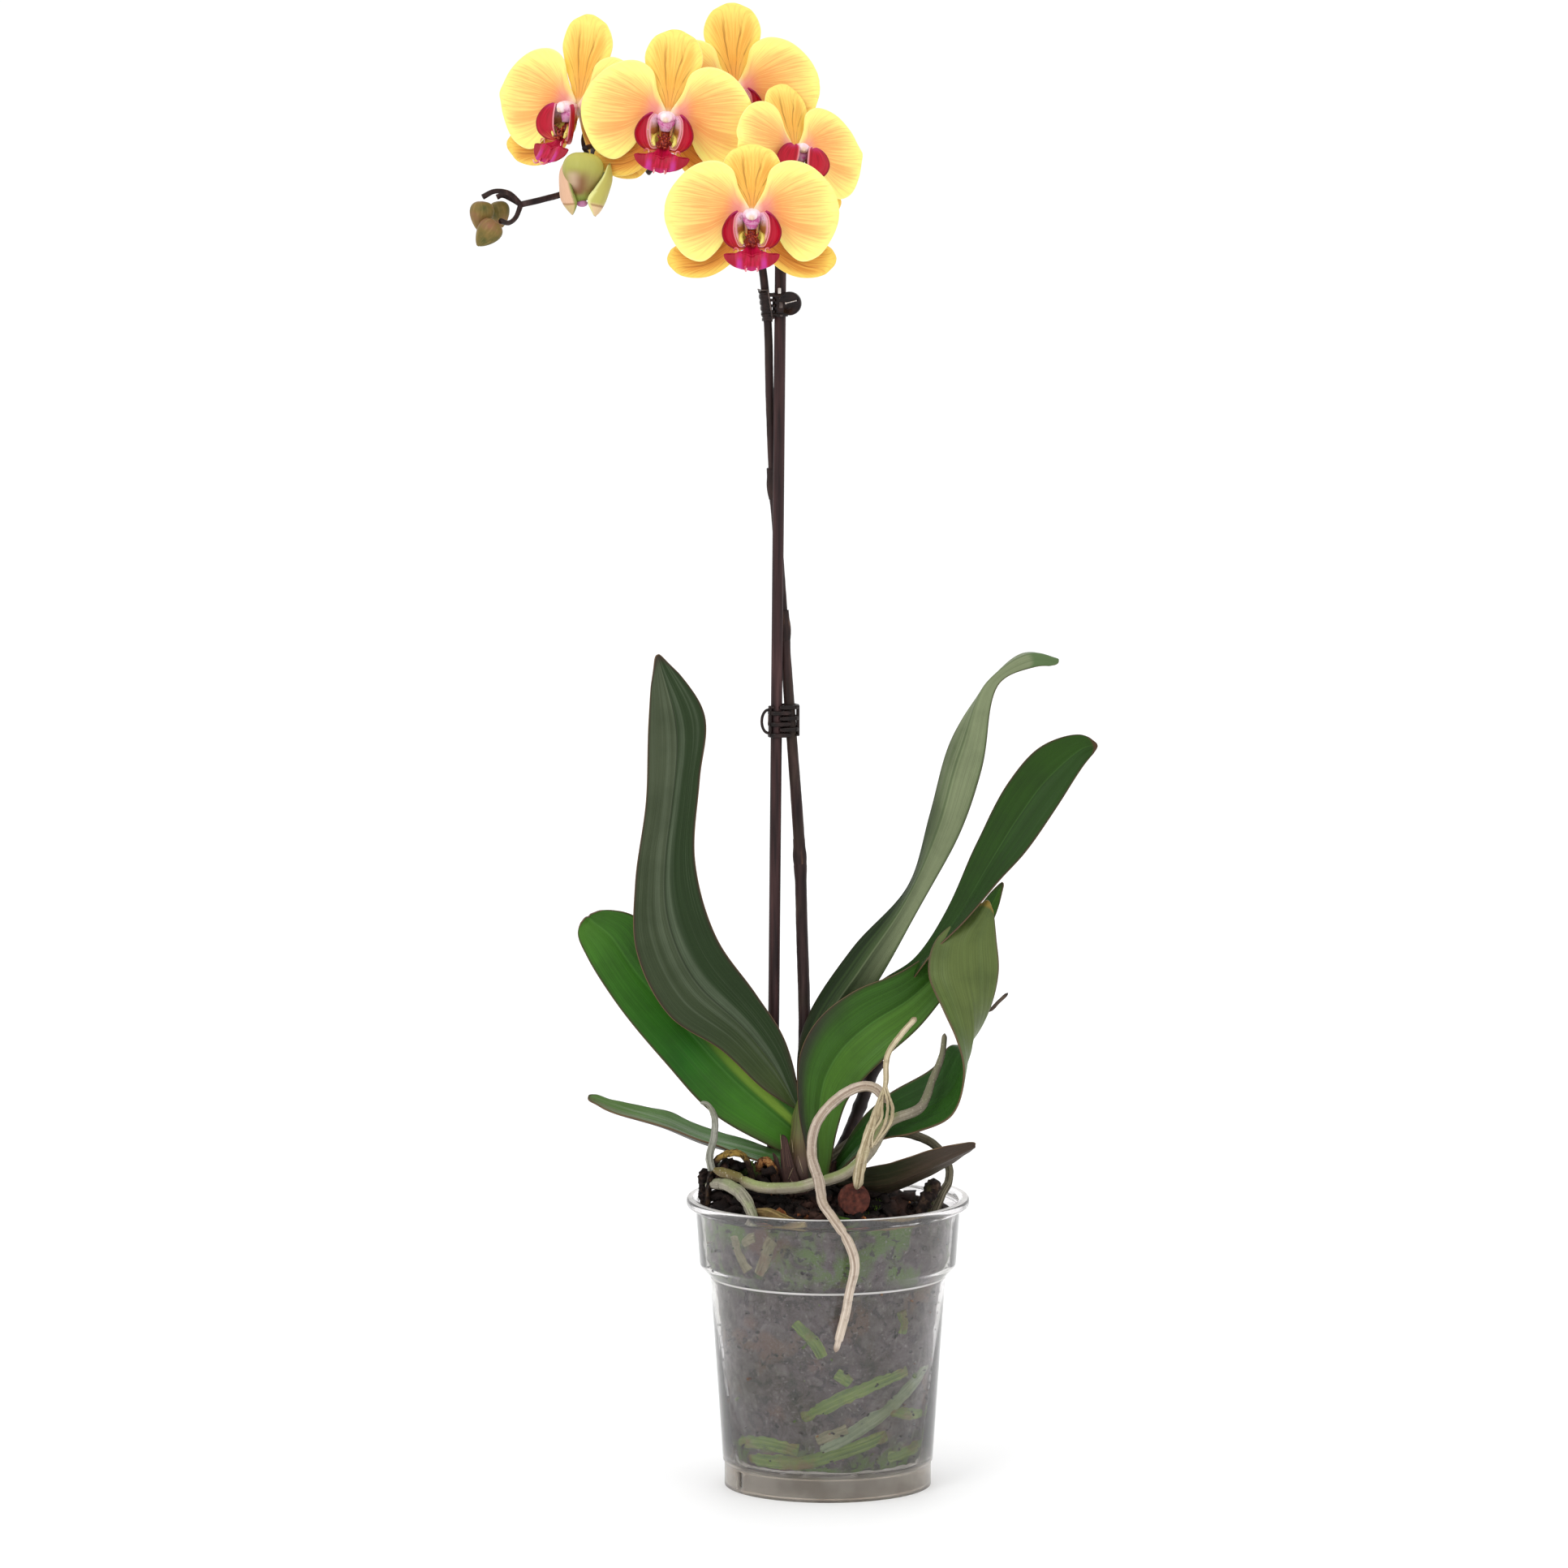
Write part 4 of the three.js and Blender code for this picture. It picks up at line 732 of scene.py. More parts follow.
barkPieces = {
    "bark_arch": {
        "broad": 5, "thick": 1.5,
        "route": [(-51, -10, 119), (-50, -11, 132), (-47, -12, 141), (-42, -12, 144), (-36, -12, 143),
                  (-32, -11, 133), (-31, -10, 121)],
    },
    "bark_orange": {
        "broad": 3.6, "thick": 2,
        "route": [(-31, -4, 121), (-29.5, -4, 133), (-28, -4, 139), (-25, -5, 139), (-22, -8, 131),
                  (-20, -11, 121)],
    },
    "bark_black": {
        "broad": 5, "thick": 3.6,
        "route": [(39, -22, 112), (40, -22, 122), (43, -21, 129), (46, -21, 134)],
    },
    "bark_left": {
        "broad": 4.6, "thick": 2.2,
        "route": [(-50.8, 0, 113), (-52.4, 1, 122), (-53, 2, 130), (-52, 3, 135)],
    },
}


def slabRadius(broad, thick):
    # a flattened section with blunt corners, worn and split along its length
    def radius(t, angle):
        reach = (abs(math.cos(angle) / broad) ** 2.6 + abs(math.sin(angle) / thick) ** 2.6) ** (-1 / 2.6)
        split = 0.1 * math.sin(angle * 9 + 5 * math.sin(t * 11)) + 0.08 * math.sin(angle * 17 - t * 19)
        return reach * (0.94 + split) * (0.5 + 0.5 * min(1, t * 12, (1 - t) * 12))
    return radius


archBark = Finish("mossy bark edge", 0.85, 0.2)
archGrain = archBark.grain(scale=420.0, detail=5, distortion=0.5)
archBark.paint(archGrain.ramp((0.35, "0e0907"), (0.55, "2a1c14"), (0.7, "4e3a24")))
archHeight = archBark.axis("Z", "Object").eased(0.1405, 0.1445)
archBark.coat(archHeight * archGrain.eased(0.42, 0.56, 0.2, 1), "94783a")
archBark.relief(archGrain, 0.0009, 0.9)

ridgeBark = Finish("orange bark ridge", 0.8, 0.2)
ridgeGrain = ridgeBark.grain(scale=380.0, detail=5, distortion=0.8)
ridgeDark = ridgeGrain.ramp((0.35, "120a07"), (0.55, "2c1a12"), (0.7, "4a2e1e"))
ridgeBright = ridgeGrain.ramp((0.36, "24120a"), (0.5, "80502a"), (0.68, "b48a56"))
ridgeBark.paint(ridgeBark.blend(ridgeBark.axis("Z", "Object").eased(0.134, 0.139), ridgeDark,
                                ridgeBright))
ridgeBark.relief(ridgeGrain, 0.0009, 0.9)

slabFinishes = {"bark_arch": archBark, "bark_orange": ridgeBark}
for index, (name, slab) in enumerate(barkPieces.items()):
    radius = slabRadius(slab["broad"], slab["thick"])
    part = tubePart(slab["route"], radius, 36, 60, out=-frontward, jitter=0.3, seed=index * 7)
    slot = "bark_light" if name == "bark_orange" else "bark"
    finishPiece(name + "_piece", [part], [name], slot, [slabFinishes.get(name, blackBark)])

clay = grained("red clay", 0.75, 0.3, (0.3, "2c1512"), (0.5, "54291f"), (0.7, "6e3b2e"), depth=0.0005,
               scale=520.0, detail=6)
clay.patches("4f2a24", 0.5, 0.7, 0.6, scale=150.0, detail=4)


clayDisc = {"centre": (11, -28, 127), "turn": 0.12, "front": 6.5, "back": 6.9, "thick": 4.2}


def discPart():
    part = newPart()
    turn = Matrix.Rotation(clayDisc["turn"], 4, "Z") @ Matrix.Rotation(math.pi / 2, 4, "X")
    bmesh.ops.create_cone(part, cap_ends=True, segments=40, radius1=clayDisc["back"],
                          radius2=clayDisc["front"], depth=clayDisc["thick"])
    caps = [face for face in part.faces if len(face.verts) > 4]
    bmesh.ops.inset_region(part, faces=caps, thickness=1.0, depth=-0.25)
    rims = [edge for edge in part.edges if edge.calc_face_angle(0) > 0.5]
    soften(part, rims, 0.45)
    for vert in part.verts:
        vert.co += vert.co.normalized() * 0.25 * noise.noise(vert.co * 0.5)
    place = Matrix.Translation(clayDisc["centre"]) @ turn
    bmesh.ops.transform(part, matrix=place, verts=part.verts)
    return part


finishPiece("clay_granule", [discPart()], ["clay_disc"], "clay", [clay])
print("bark")


# Crown and leaves

def leafFinish(name, tones, under):
    skin = Finish(name + (" under" if under else " upper"), roughness=0.42, gloss=0.16)
    across = skin.axis("X")
    reach = skin.axis("Y")
    side = skin.midline()
    if under:
        near, far = tones["under"]
        turning = reach.calc("MULTIPLY_ADD", 0.9, across * 0.45)
        skin.paint(skin.blend(turning.eased(0.35, 0.75), near, far))
        streakAndSheenTone, streaksAndSheen = tones["underStreaksAndSheen"]
        ribTone, ribShare = far, 0.35
    else:
        base, middle, far = tones["upper"]
        skin.paint(reach.ramp((0.04, base), (0.3, middle), (0.8, far)))
        halfTone, half = tones["rightHalf"]
        rightShare = across.eased(0.49, 0.54) * half
        skin.coat(rightShare, halfTone)
        streakAndSheenTone, streaksAndSheen = tones["streaksAndSheen"]
        ribTone, ribShare = tones["rib"]
    # broad lengthwise streaks: pale streak tones are painted sheen on the blade, dark ones its own lines
    broad = skin.grain((8, 0.7, 1), detail=2, on="UV", shift=(len(name), 0, 0))
    broadShare = broad.eased(0.46, 0.66) * streaksAndSheen
    skin.coat(broadShare, streakAndSheenTone)
    fine = skin.grain((110, 2.5, 1), detail=4, on="UV")
    skin.coat(fine.eased(0.35, 0.65, 0.25, 0.0), "141c0c")
    # fine lines in the streak tone, the pale ones painted sheen
    skin.coat(fine.eased(0.52, 0.75, 0.0, 0.15), streakAndSheenTone)
    skin.coat(side.eased(0.0, 0.045, ribShare, 0.0), ribTone)
    mottle = skin.grain(scale=60.0, detail=4)
    skin.coat(mottle.eased(0.4, 0.75, 0.0, 0.3), "1c2a10")
    # the sheathing foot of the leaf is brown at its sides, and one has a bright stripe
    if "stripe" in tones and not under:
        place, stripeTone = tones["stripe"]
        distance = abs(across - place)
        stripe = distance.eased(0.03, 0.11, 0.8, 0)
        stripe = reach.eased(0.14, 0.36, 1, 0) * stripe
        skin.coat(stripe, stripeTone)
    # a dark band along the left margin near the foot: partly the leaf's brown margin, partly painted shade
    # of the fold there
    if "fold" in tones:
        foldFrom, foldTo, foldMarginShadeTone = tones["fold"]
        fold = across.eased(0.04, 0.26, 0.85, 0) * reach.eased(foldFrom, foldTo, 1, 0)
        skin.coat(fold, foldMarginShadeTone)
    foot = reach.eased(0.05, 0.2, 1, 0) * side.eased(0.6, 0.95, 0, 0.5)
    skin.coat(foot, "40302a")
    tipFrom, tipTone = tones.get("tip", (0.975, "33211d"))
    skin.coat(side.eased(0.9, 1.0, 0, 0.8), tones.get("edge", "33211d"))
    skin.coat(reach.eased(tipFrom, tipFrom + 0.025, 0, 0.85), tipTone)
    skin.relief(fine, 0.0003, 0.4)
    skin.feed(skin.shader.inputs["Roughness"], broad.eased(0.3, 0.7, 0.5, 0.36))
    return skin


leafEdge = mottled("leaf edge", 0.5, 0.3, ("4a302a", "6b5a34"), scale=90.0)

leaves = {
    # Upper side: base, middle and far tone, a tone for the half right of the midrib, how much of
    # it, streaks and how strong, and the midrib. Lower side: near, far, streaks. Pale streak tones are
    # painted sheen, dark ones the leaf's own lines.
    # the grey-olive of its blade left of the midrib is partly painted sheen; its right half keeps the
    # leaf's dark green
    "leaf_left_tall": {
        "keel": -0.16,
        "upper": ("3a4a1e", "2f3c22", "454e38"), "rightHalf": ("1b3010", 0.85),
        "streaksAndSheen": ("77826c", 0.3), "rib": ("20281a", 0.7), "under": ("55623f", "66744f"),
        "underStreaksAndSheen": ("7b8a68", 0.2),
        "margins": [
            [(-14.5, 2, 161), (-27.6, 1, 169.4), (-45, 0, 186), (-67, -3, 201), (-81, -5, 229),
             (-81.5, -4, 258), (-77, 0, 292), (-76, 4, 322), (-74, 8, 353)],
            [(-10, 0, 158), (-18, 1, 190), (-30, -1, 210), (-47, -3, 235), (-56, -4, 268), (-54, 0, 302),
             (-52, 5, 329), (-70, 9, 355)],
        ],
    },
    "leaf_left_broad": {
        "keel": -0.1,
        "upper": ("437a1c", "1d5a0b", "447422"), "rightHalf": ("2c5a14", 0.5),
        "streaksAndSheen": ("4f8038", 0.12), "rib": ("5b8a44", 0.2), "under": ("4f6a38", "5f7a48"),
        "underStreaksAndSheen": ("7b8a68", 0.2), "stripe": (0.66, "7c9c34"),
        "margins": [
            [(-17, 5, 140), (-48, 2, 158), (-69, 4, 180), (-89, 8, 204), (-102, 12, 224),
             (-106, 14, 234), (-104, 14, 240)],
            [(-9, 5, 158), (-31, 9, 186), (-52, 12, 210), (-71, 14, 229), (-81, 15, 241), (-93, 15, 244),
             (-99, 15, 243)],
        ],
    },
    "leaf_left_low": {
        "keel": -0.12,
        "upper": ("2c5218", "3f6a24", "566438"), "rightHalf": ("4c7a34", 0.5),
        "streaksAndSheen": ("7d9070", 0.3), "rib": ("3a4a2c", 0.5), "under": ("3e3a2c", "4c4238"),
        "underStreaksAndSheen": ("5f5a48", 0.3),
        "margins": [
            [(-12, 0, 131), (-36, -4, 142), (-52, -7, 148), (-70, -8, 155), (-92, -6, 161),
             (-102, 0, 165)],
            [(-12, 6, 140), (-38, 16, 146), (-52, 18, 150), (-67, 16, 157), (-88, 6, 163),
             (-101, 2, 168)],
        ],
    },
    # the far tone of its lower side is partly the leaf's own grey-green and partly painted sheen
    "leaf_right_tall": {
        "keel": 0.2,
        "upper": ("2a4416", "24401a", "2f4f22"), "rightHalf": ("24401a", 0.3),
        "streaksAndSheen": ("44603a", 0.2), "rib": ("3f5a30", 0.3), "under": ("16260b", "7e8866"),
        "underStreaksAndSheen": ("3c5228", 0.6), "tip": (0.87, "4c643c"),
        "margins": [
            [(-13, 5, 156), (-11, 9, 193), (10, 10, 228), (34, 10, 255), (43, 8, 286), (52, 6, 318),
             (64, 6, 337), (82, 4, 355), (97, 2, 352)],
            [(-7, 4, 152), (3, 5, 187), (21, 6, 214), (39, 4, 247), (56, 2, 279), (65, -2, 307),
             (72, 0, 342), (87, -4, 350), (97, -2, 350)],
        ],
    },
    "leaf_right_front": {
        "keel": -0.12,
        "upper": ("384620", "335a14", "2b5010"), "rightHalf": ("4a7420", 0.6),
        "streaksAndSheen": ("50803a", 0.1), "rib": ("5b8a3c", 0.3), "under": ("4f6a38", "5f7a48"),
        # its fold is a dark band at the left margin near the foot, partly brown margin and partly painted
        # shade
        "underStreaksAndSheen": ("7b8a68", 0.2), "fold": (0.4, 0.6, "2c2a24"),
        "margins": [
            [(-8.6, -8.6, 131), (-9.4, -8.6, 144), (-12.6, -7, 162), (-12, -6, 185), (-4, -8, 201),
             (11, -9, 213), (31, -6, 221), (48, -1, 232), (62, 4, 245), (73, 8, 258)],
            [(0, -8.4, 131), (1.6, -9.8, 141), (3.6, -11, 152), (8, -12.5, 166), (15, -15, 176),
             (25, -15, 186), (39, -10, 198), (55, -3, 218), (69, 3, 239), (75, 7, 256)],
        ],
    },
    "leaf_right_far": {
        "keel": -0.12,
        "upper": ("23420f", "1c380a", "244408"), "rightHalf": ("1d3a0e", 0.5),
        "streaksAndSheen": ("345a1e", 0.15), "rib": ("456a30", 0.35), "under": ("45602e", "55703c"),
        "underStreaksAndSheen": ("7b8a68", 0.2), "tip": (0.955, "4a2f22"),
        "margins": [
            [(-8, 4, 154), (7, 8, 197), (21, 6, 214), (38, -2, 227), (50, -10, 248), (62, -14, 276),
             (75, -16, 302), (89, -16, 318), (105, -14, 323), (113, -12, 320)],
            [(-3, 2, 148), (14, 0, 184), (29, 2, 206), (43, -12, 228), (58, -20, 245), (73, -22, 263),
             (83, -22, 274), (95, -20, 291), (108, -17, 311), (114, -13, 317)],
        ],
    },
    "leaf_right_curled": {
        "keel": 0.14,
        "upper": ("1f4a0f", "2a5614", "2c5814"), "rightHalf": ("1c420f", 0.5),
        "streaksAndSheen": ("3c6a28", 0.15), "rib": ("1c380f", 0.4), "under": ("4a6024", "586634"),
        "underStreaksAndSheen": ("64784a", 0.15), "tip": (0.95, "8a7030"), "edge": "5a4038",
        "margins": [
            [(1, -4, 131), (20, -24, 151), (37, -31, 156), (52, -35, 164), (57, -36, 181),
             (54, -34, 196), (48, -28, 208), (42, -17, 222), (45, -13, 235), (58, -12, 246),
             (67, -12, 253)],
            [(3, -1, 139), (13.4, -7, 157), (25, -10, 169), (44, -14, 181), (51, -12, 190),
             (58, -9, 190), (67, -10, 202), (72, -12, 221), (71, -13, 236), (70, -13, 245),
             (69, -13, 251)],
        ],
    },
    "leaf_right_low": {
        "keel": 0.08,
        "upper": ("26440f", "23400f", "2f4a1c"), "rightHalf": ("23400f", 0.2),
        "streaksAndSheen": ("456034", 0.15), "rib": ("3c5a28", 0.3), "under": ("2a2c1e", "40352c"),
        "underStreaksAndSheen": ("584438", 0.4),
        "margins": [
            [(0, -6, 135), (21, -30, 142), (33, -40, 147), (45, -46, 152), (62, -50, 156)],
            [(-1, -4, 127), (20, -16, 126), (36, -22, 133), (50, -32, 142), (62, -48, 153)],
        ],
    },
}


def leafLift(keel, seed):
    # the fold of the blade, the groove over its midrib and the slight wave of its margins
    def lift(side, t, width):
        fold = width * keel * (1 - abs(side) ** 1.6)
        distance = side * width / 2
        groove = math.copysign(0.55, keel) * math.exp(-(distance / 1.5) ** 2)
        wave = 0.9 * abs(side) ** 3 * noise.noise(Vector((t * 7, seed, 1 if side > 0 else 5)))
        ribs = 0.08 * math.cos(distance * 2.1)
        return fold + groove + wave + ribs
    return lift


for index, (name, leaf) in enumerate(leaves.items()):
    notch = 0.035 if name == "leaf_left_broad" else 0
    lift = leafLift(leaf["keel"], index * 3)
    part = bladePart(leaf["margins"], 22, 70, lift, thin=0.45, tip=0.05, notch=notch)
    # a keel that stands forward is the lower side of the leaf
    keelForward = leaf["keel"] > 0
    finishes = [leafFinish(name, leaf, keelForward), leafFinish(name, leaf, not keelForward), leafEdge]
    slot = "leaf_under" if name in ("leaf_right_curled", "leaf_right_low", "leaf_left_low") else "leaf"
    finishPiece(name + "_blade", [part], [name], slot, finishes, wall=1.8, levels=1, sideFinish=1)

sheath = Finish("leaf sheath", roughness=0.5, gloss=0.3)
sheathHeight = sheath.axis("Y").eased(0.1, 0.95)
sheath.paint(sheathHeight.ramp((0.0, "1a100c"), (0.35, "38241f"), (0.55, "5a4436"), (0.75, "665a38"),
                               (1.0, "5a6a30")))
sheathLines = sheath.grain((60, 3, 1), detail=3, on="UV")
sheath.coat(sheathLines.eased(0.45, 0.7, 0, 0.5), "3c2822")
sheath.relief(sheathLines, depth=0.0004)

crown = {
    "route": [(-8, 0, 104), (-9, 0, 116), (-9, 0, 130), (-9, 0.5, 144), (-10, 1.5, 158), (-10, 2.5, 168)],
    "across": [6, 9, 10.5, 8.5, 5.5, 2.6],
    "deep": [5, 7.5, 8, 7, 5, 2.6],
    # the stub of an old leaf at the left of the stem
    "stub": [
        [(-15, -5, 116), (-18.6, -6, 128), (-20, -6, 140), (-19.8, -4, 151)],
        [(-9, -8.4, 116), (-10.5, -9, 128), (-14.4, -8.6, 139), (-17.4, -6, 150.6)],
    ],
    # loose pale fibres: foot, direction and length
    "fibres": (
        ((-19.6, -7, 145), (-0.1, 0, 1), 6.5), ((-14.8, -9.5, 144), (-0.1, 0, 1), 5.5),
        ((-10.4, -10.2, 135), (-0.3, 0, 1), 8), ((-17, -9, 132), (0.4, -0.2, 1), 6),
        ((-5, -10.4, 130), (0.5, -0.3, 1), 6), ((-3, -10, 128), (0.9, -0.2, 0.8), 5),
        ((-13, -10, 128), (-0.6, -0.3, 1), 6),
    ),
}


def crownRadius(t, angle):
    across, deep = along(crown["across"], t), along(crown["deep"], t)
    reach = 1 / math.hypot(math.cos(angle) / deep, math.sin(angle) / across)
    return reach * (1 + 0.05 * math.sin(t * 26 + 2 * math.cos(angle)))


papery = grained("dry leaf scale", 0.7, 0.2, (0.35, "281a18"), (0.55, "4a3430"), (0.75, "77604e"),
                 depth=0.0004, stretch=(40, 2, 1), detail=4, on="UV")
scales = {
    # degrees round the crown from the front, to the right, and how high each scale stands
    "turns": ((-78, 143), (-35, 138), (12, 134), (58, 140), (120, 138), (200, 141)),
    "foot": 116, "middle": (-9, 0), "width": 34,
}


def scalePart(turn, top):
    margins = []
    for side in (-1, 1):
        margin = []
        for step in range(5):
            share = step / 4
            angle = math.radians(turn + side * scales["width"] * (1 - 0.75 * share ** 1.5))
            reach = 8.6 + 3.2 * share
            margin.append((scales["middle"][0] + math.sin(angle) * reach * 1.15,
                           scales["middle"][1] - math.cos(angle) * reach * 0.85,
                           scales["foot"] + (top - scales["foot"]) * share))
        margins.append(margin)
    return sheetPart(margins, 10, 16, lambda side, t, width: 1.4 * (1 - side * side), 0.5, 1)


crownParts = [tubePart(crown["route"], crownRadius, 48, 60, out=frontward)]
crownParts += [scalePart(turn, top) for turn, top in scales["turns"]]
stubLift = lambda side, t, width: 0.2 * width * (1 - side * side)
crownParts.append(sheetPart(crown["stub"], 12, 24, stubLift, 0.9, 1, tip=0.05))
for foot, direction, length in crown["fibres"]:
    crownParts.append(hairPart(Vector(foot), Vector(direction).normalized(), length, 0.22, 2))
strawFinish = mottled("dry fibre", 0.7, 0.2, ("8a7458", "c8b898"), scale=300.0)
finishPiece("crown_stem", crownParts, ["crown"], "sheath", [sheath, papery, strawFinish])
print("crown and leaves")


# Spike, stake and clips

spikeFinish = grained("spike skin", 0.5, 0.18, (0.3, "1a0f10"), (0.55, "30201f"), (0.8, "4c3834"),
                      stretch=(1, 1, 0.12), scale=420.0)
spikeFinish.patches("34301f", 0.5, 0.75, 0.45, scale=28.0)
bractFinish = grained("dry bract", 0.7, 0.25, (0.35, "1c1112"), (0.6, "33231f"), (0.8, "6a4e3c"),
                      stretch=(1, 1, 0.2), scale=500.0)

spikeRoute = [
    (-9, 5, 150), (-10, 11, 176), (-10, 13, 200), (-11, 14, 234), (-12, 15, 269), (-15.6, 14.5, 321),
    (-18.2, 17, 358), (-20.6, 19.5, 392), (-23, 18.6, 424), (-24.6, 16, 462), (-25.4, 14.2, 493),
    (-27.2, 15, 513), (-30, 18, 530), (-33, 22, 549), (-40, 26, 566), (-51, 27, 577), (-66, 27, 578),
    (-80, 25, 569), (-95, 20, 557), (-109, 15, 549), (-120, 11, 546), (-129, 10, 544),
]
spike = {
    "radii": [2.7, 2.6, 2.5, 2.3, 2, 1.85, 1.75, 1.6, 1.5, 1.35],
    "nodes": (0.2146, 0.4, 0.515),
    "stalk": 1.2,
    "knot": 2.1,
}
spikeSteps = 400
spikeLine = evenRoute(spikeRoute, spikeSteps)


def spikeRadius(t, angle):
    swell = max(math.exp(-((t - spot) / 0.007) ** 2) for spot in spike["nodes"])
    reach = along(spike["radii"], t) * (1 + 0.16 * swell)
    return reach * (1 + 0.02 * math.cos(angle * 7))


def bractPart(t):
    # a dry scale that sheathes a node and ends in a short point
    step = round(t * spikeSteps)
    foot, end = spikeLine[step - 1], spikeLine[step + 9]
    heading = (end - foot).normalized()
    points = [foot, foot.lerp(end, 0.5), end]

    def radius(share, angle):
        point = 0.5 + 0.5 * math.cos(angle)
        return 2.3 + 0.75 * math.sin(min(1, share * 1.4) * math.pi * 0.8) - share * 0.4 * point
    return tubePart(points, radius, 24, 12, 1, out=frontward - heading * frontward.dot(heading))


def stalkPart(points):
    return tubePart(points, lambda t, angle: spike["stalk"] * (1 - 0.15 * math.sin(t * math.pi)), 12, 24)


blooms = {
    "bloom_1": {
        "centre": (-32, -36, 545), "turn": 0, "lift": 6, "lean": 0, "size": 1,
        "hood": 0.79, "spread": 1, "stalk": 0.71, "via": (-31, -3, 531),
    },
    "bloom_2": {
        "centre": (-14, -5, 567.5), "turn": 43, "lift": 21, "lean": -9, "size": 0.94,
        "hood": 0.9, "spread": 0.75, "stalk": 0.755, "via": (-27, 15, 556), "lipTurn": -24,
        "lipLean": -14,
        "closed": ("left", "right"),
    },
    "bloom_3": {
        "centre": (-39.5, 18.5, 591.8), "turn": 0, "lift": 4, "lean": 2, "size": 0.99,
        "hood": 1.02, "spread": 0.9, "stalk": 0.8, "via": (-40, 31, 580),
    },
    "bloom_4": {
        "centre": (-67, -6, 583), "turn": -4, "lift": 6, "lean": -5, "size": 1,
        "hood": 1, "spread": 0.84, "stalk": 0.88, "via": (-75, 4, 558),
    },
    "bloom_5": {
        "centre": (-105, 19, 585), "turn": -33, "lift": 5, "lean": -4, "size": 1.03,
        "hood": 1.04, "spread": 1, "stalk": 0.93, "via": (-103, 26, 569), "lipTurn": -20,
        "closed": ("left",),
    },
}


def bloomPlace(bloom):
    turn = Matrix.Rotation(math.radians(bloom["turn"]), 4, "Z")
    upright = Matrix.Rotation(math.radians(90 - bloom["lift"]), 4, "X")
    lean = Matrix.Rotation(math.radians(bloom["lean"]), 4, "Z")
    size = Matrix.Scale(bloom["size"], 4)
    return Matrix.Translation(Vector(bloom["centre"])) @ turn @ upright @ lean @ size


def lipPlace(bloom):
    # the lip and column of some blooms hang a little turned from the petals
    turn = Matrix.Rotation(math.radians(bloom.get("lipTurn", 0)), 4, "Y")
    lean = Matrix.Rotation(math.radians(bloom.get("lipLean", 0)), 4, "Z")
    hinge = Matrix.Translation((0, -1, 3))
    return bloomPlace(bloom) @ hinge @ turn @ lean @ hinge.inverted()


budStalks = {
    "bud_opening": [(-101, 18, 553.5), (-99.3, 9, 562.5), (-98.8, 1, 569), (-102, -6.2, 569)],
    "bud_small_1": [(-129, 10, 544), (-134, 8, 549), (-140, 5, 550), (-144.8, 3.2, 547.8)],
    "bud_small_2": [(-129, 10, 544), (-133, 12, 546), (-137, 13, 547.6), (-139.2, 13, 546.8)],
    "bud_small_3": [(-129, 10, 544), (-131, 7, 539), (-134, 2, 537), (-137.2, -2, 538.2)],
}


def makeSpike():
    parts = [tubePart(spikeRoute, spikeRadius, 20, 260, jitter=0.03)]
    parts += [bractPart(spot) for spot in spike["nodes"]]
    for bloom in blooms.values():
        place = bloomPlace(bloom)
        foot = spikeLine[round(bloom["stalk"] * spikeSteps)]
        behind, end = place @ Vector((0, -1, -12)), place @ Vector((0, 0, -7.3))
        parts.append(stalkPart([foot, bloom["via"], behind, end]))
        parts.append(blobPart(foot, [spike["knot"]] * 3, detail=2))
    parts += [stalkPart(points) for points in budStalks.values()]
    return parts


finishPiece("spike_skin", makeSpike(), ["flower_spike"], "spike", [spikeFinish, bractFinish])

oldSpike = grained("old spike skin", 0.55, 0.3, (0.35, "150d0e"), (0.6, "2a1a1b"), (0.8, "4a3530"),
                   stretch=(1, 1, 0.2), scale=380.0, detail=4)
oldRoute = [(-3, 4, 130), (7, 12, 144), (14, 18, 160), (20, 22, 175), (23, 23, 178)]
oldRadius = lambda t, angle: 2.9 + 0.35 * math.exp(-((t - 0.62) / 0.03) ** 2)
oldParts = [tubePart(oldRoute, oldRadius, 20, 60, jitter=0.06)]
finishPiece("old_spike_stub", oldParts, ["old_spike"], "spike", [oldSpike])

stakeFinish = grained("stake", 0.5, 0.2, (0.35, "1f1213"), (0.6, "3a2424"), (0.85, "553c3a"),
                      stretch=(1, 1, 0.05), scale=600.0, detail=4)
stake = {"foot": (-24.4, 13, 40), "tip": (-20, 13, 522), "radius": 2.4}


def makeStake():
    foot, tip = Vector(stake["foot"]), Vector(stake["tip"])
    part = newPart()
    turn = (tip - foot).to_track_quat("Z", "Y").to_matrix().to_4x4()
    place = Matrix.Translation((foot + tip) / 2) @ turn
    bmesh.ops.create_cone(part, cap_ends=True, segments=32, radius1=stake["radius"],
                          radius2=stake["radius"], depth=(tip - foot).length, matrix=place)
    ends = [edge for edge in part.edges if edge.calc_face_angle(0) > 1]
    soften(part, ends, 0.5, 3)
    return part


finishPiece("stake_rod", [makeStake()], ["stake"], "stake", [stakeFinish])

clips = {
    "clip_lower": {"z": 325, "fingers": 6, "finger": 2.38},
    "clip_upper": {
        "z": 501.6, "bars": 5, "bar": 2.4, "height": 9.8, "tab": 5, "tabOut": 0.7,
        # the patches painted pale as highlights and glints: place, height, width, size and finish
        "worn": ((-3.4, 6.1, 1.3, 2.4, 2), (-4.1, 0.1, 1.5, 2.5, 1), (-4.2, -4.3, 1.2, 0.8, 1),
                 (-3.5, 3.2, 0.6, 0.8, 1)),
        # the toothed plate's two edges from its foot to its top: along the clip, and its height
        "plate": (((4.9, -6.1), (6.5, 6.2)), ((-0.4, -6.1), (1.5, 6.2))), "teeth": 5,
    },
}
clipShape = {"inner": 2.55, "wall": 1.2}


